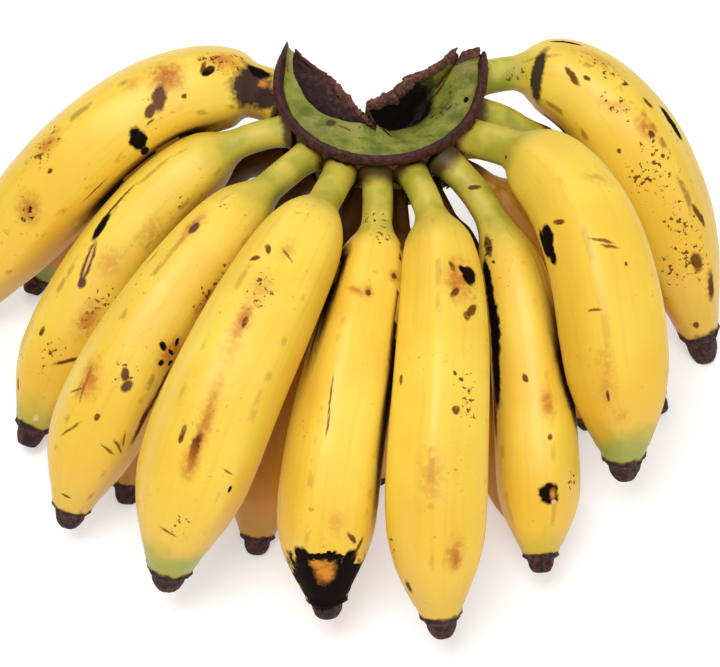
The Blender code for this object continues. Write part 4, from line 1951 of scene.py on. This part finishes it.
            Mark(Blemish.BLACK, (565, 42), 7.0, 0.9),
            Mark(Blemish.BROWN, (572, 76), 4.0, 1.1, -30),
            Mark(Blemish.BROWN, (587, 78), 1.4, 0.8),
            Mark(Blemish.BLACK, (672, 123), 7.0, 2.0),
            Mark(Blemish.BROWN, (648, 103), 2.4, 1.1),
            Mark(Blemish.BROWN, (625, 84), 1.4, 0.7, 60),
            Mark(Blemish.STAIN, (615, 106), 5.0, 2.0, 40),
            Mark(Blemish.SPECKS, (615, 106), 5.0, 2.5),
            Mark(Blemish.STAIN, (600, 60), 9.0, 4.0),
            Mark(Blemish.SPECKS, (606, 70), 6.0, 2.6),
            Mark(Blemish.RUST, (646, 128), 4.0, 2.2),
            Mark(Blemish.BROWN, (651, 134), 1.4, 1.0),
            Mark(Blemish.SPECKS, (660, 165), 7.0, 4.0),
            Mark(Blemish.BROWN, (619, 151), 0.9, 0.8),
            Mark(Blemish.BROWN, (663, 156), 0.8, 0.7),
            Mark(Blemish.BROWN, (699, 215), 5.0, 1.2, 20),
            Mark(Blemish.SPECKS, (682, 226), 6.0, 4.0),
            Mark(Blemish.BROWN, (697, 262), 4.0, 2.0),
            Mark(Blemish.SPECKS, (690, 258), 7.0, 4.0),
            Mark(Blemish.SEAM, (711, 285), 6.0, 1.6),
            Mark(Blemish.SPECKS, (672, 275), 5.0, 3.0),
            Mark(Blemish.BROWN, (696, 325), 1.4, 1.0),
            Mark(Blemish.SPECKS, (640, 180), 5.0, 3.0),
            Mark(Blemish.SPECKS, (516, 76), 3.0, 2.4),
        ),
    ),
)

# The inner row lies in the outer row's shade, and that shade is painted into its peel: an amber body
# (shade), darker crevices (gloom) and dark brown over the necks and shoulders (root_reach)
HIDDEN_PEEL = PeelFinish(
    shade=0.82, neck_green=0.0, root_reach=0.42, tip_green=0.15, age=0.6, gloom=0.24
)

INNER_ROW = (
    Banana(
        "inner_finger_1",
        FingerForm(-68, 64, (-69, -8, 46), (-112, 3, 20), (-122, -24, 1.6), 25.5),
        replace(HIDDEN_PEEL, tip_green=1.0),
    ),
    Banana(
        "inner_finger_2",
        FingerForm(-46, 65, (-47, -37, 58), (-79, -80, 28), (-84, -110, 1.4), 27.0, roll=10),
        HIDDEN_PEEL,
    ),
    Banana(
        "inner_finger_3",
        FingerForm(-12, 65, (-14, -61, 60), (-38, -93, 38), (-40, -129, 1.0), 27.0, neck=0.17),
        HIDDEN_PEEL,
    ),
    Banana(
        "inner_finger_4",
        FingerForm(8, 65, (9, -65, 61), (-1, -88, 38), (0, -101, 0.3), 26.5, neck=0.17, roll=15),
        HIDDEN_PEEL,
    ),
    Banana(
        "inner_finger_5",
        FingerForm(28.5, 65, (31.6, -52, 57), (33, -83, 21), (54, -129, 1.7), 22.2, 10.5, neck=0.14),
        HIDDEN_PEEL,
    ),
    Banana(
        "inner_finger_6",
        FingerForm(51.4, 65, (50.5, -23, 59), (60, -58, 31), (72, -80, 1.0), 25.0, neck=0.17, roll=6),
        replace(HIDDEN_PEEL, root_reach=0.16, gloom=0.12),
    ),
    Banana(
        "inner_finger_7",
        FingerForm(84.3, 75, (66, 0, 69), (73, -30, 14), (97, -75, 3.0), 23.0),
        replace(HIDDEN_PEEL, neck_green=1.0, root_reach=0.04, shade=0.1, gloom=0.06),
    ),
)


def main() -> None:
    """Build the studio, the crown and both rows of fingers."""
    logging.basicConfig(level=logging.INFO, format="%(name)s: %(message)s")
    camera = PhotoCamera()
    camera.build()
    Studio().build(camera.target)
    pieces = (Crown(CrownForm(), CROWN_MARKS),) + OUTER_ROW + INNER_ROW
    skins = [piece.loft() for piece in pieces]
    crevices = Crevices(skins)
    for piece, skin in zip(pieces, skins):
        crevices.mark(skin)
        piece.build(skin, camera)


if __name__ == "__main__":
    main()
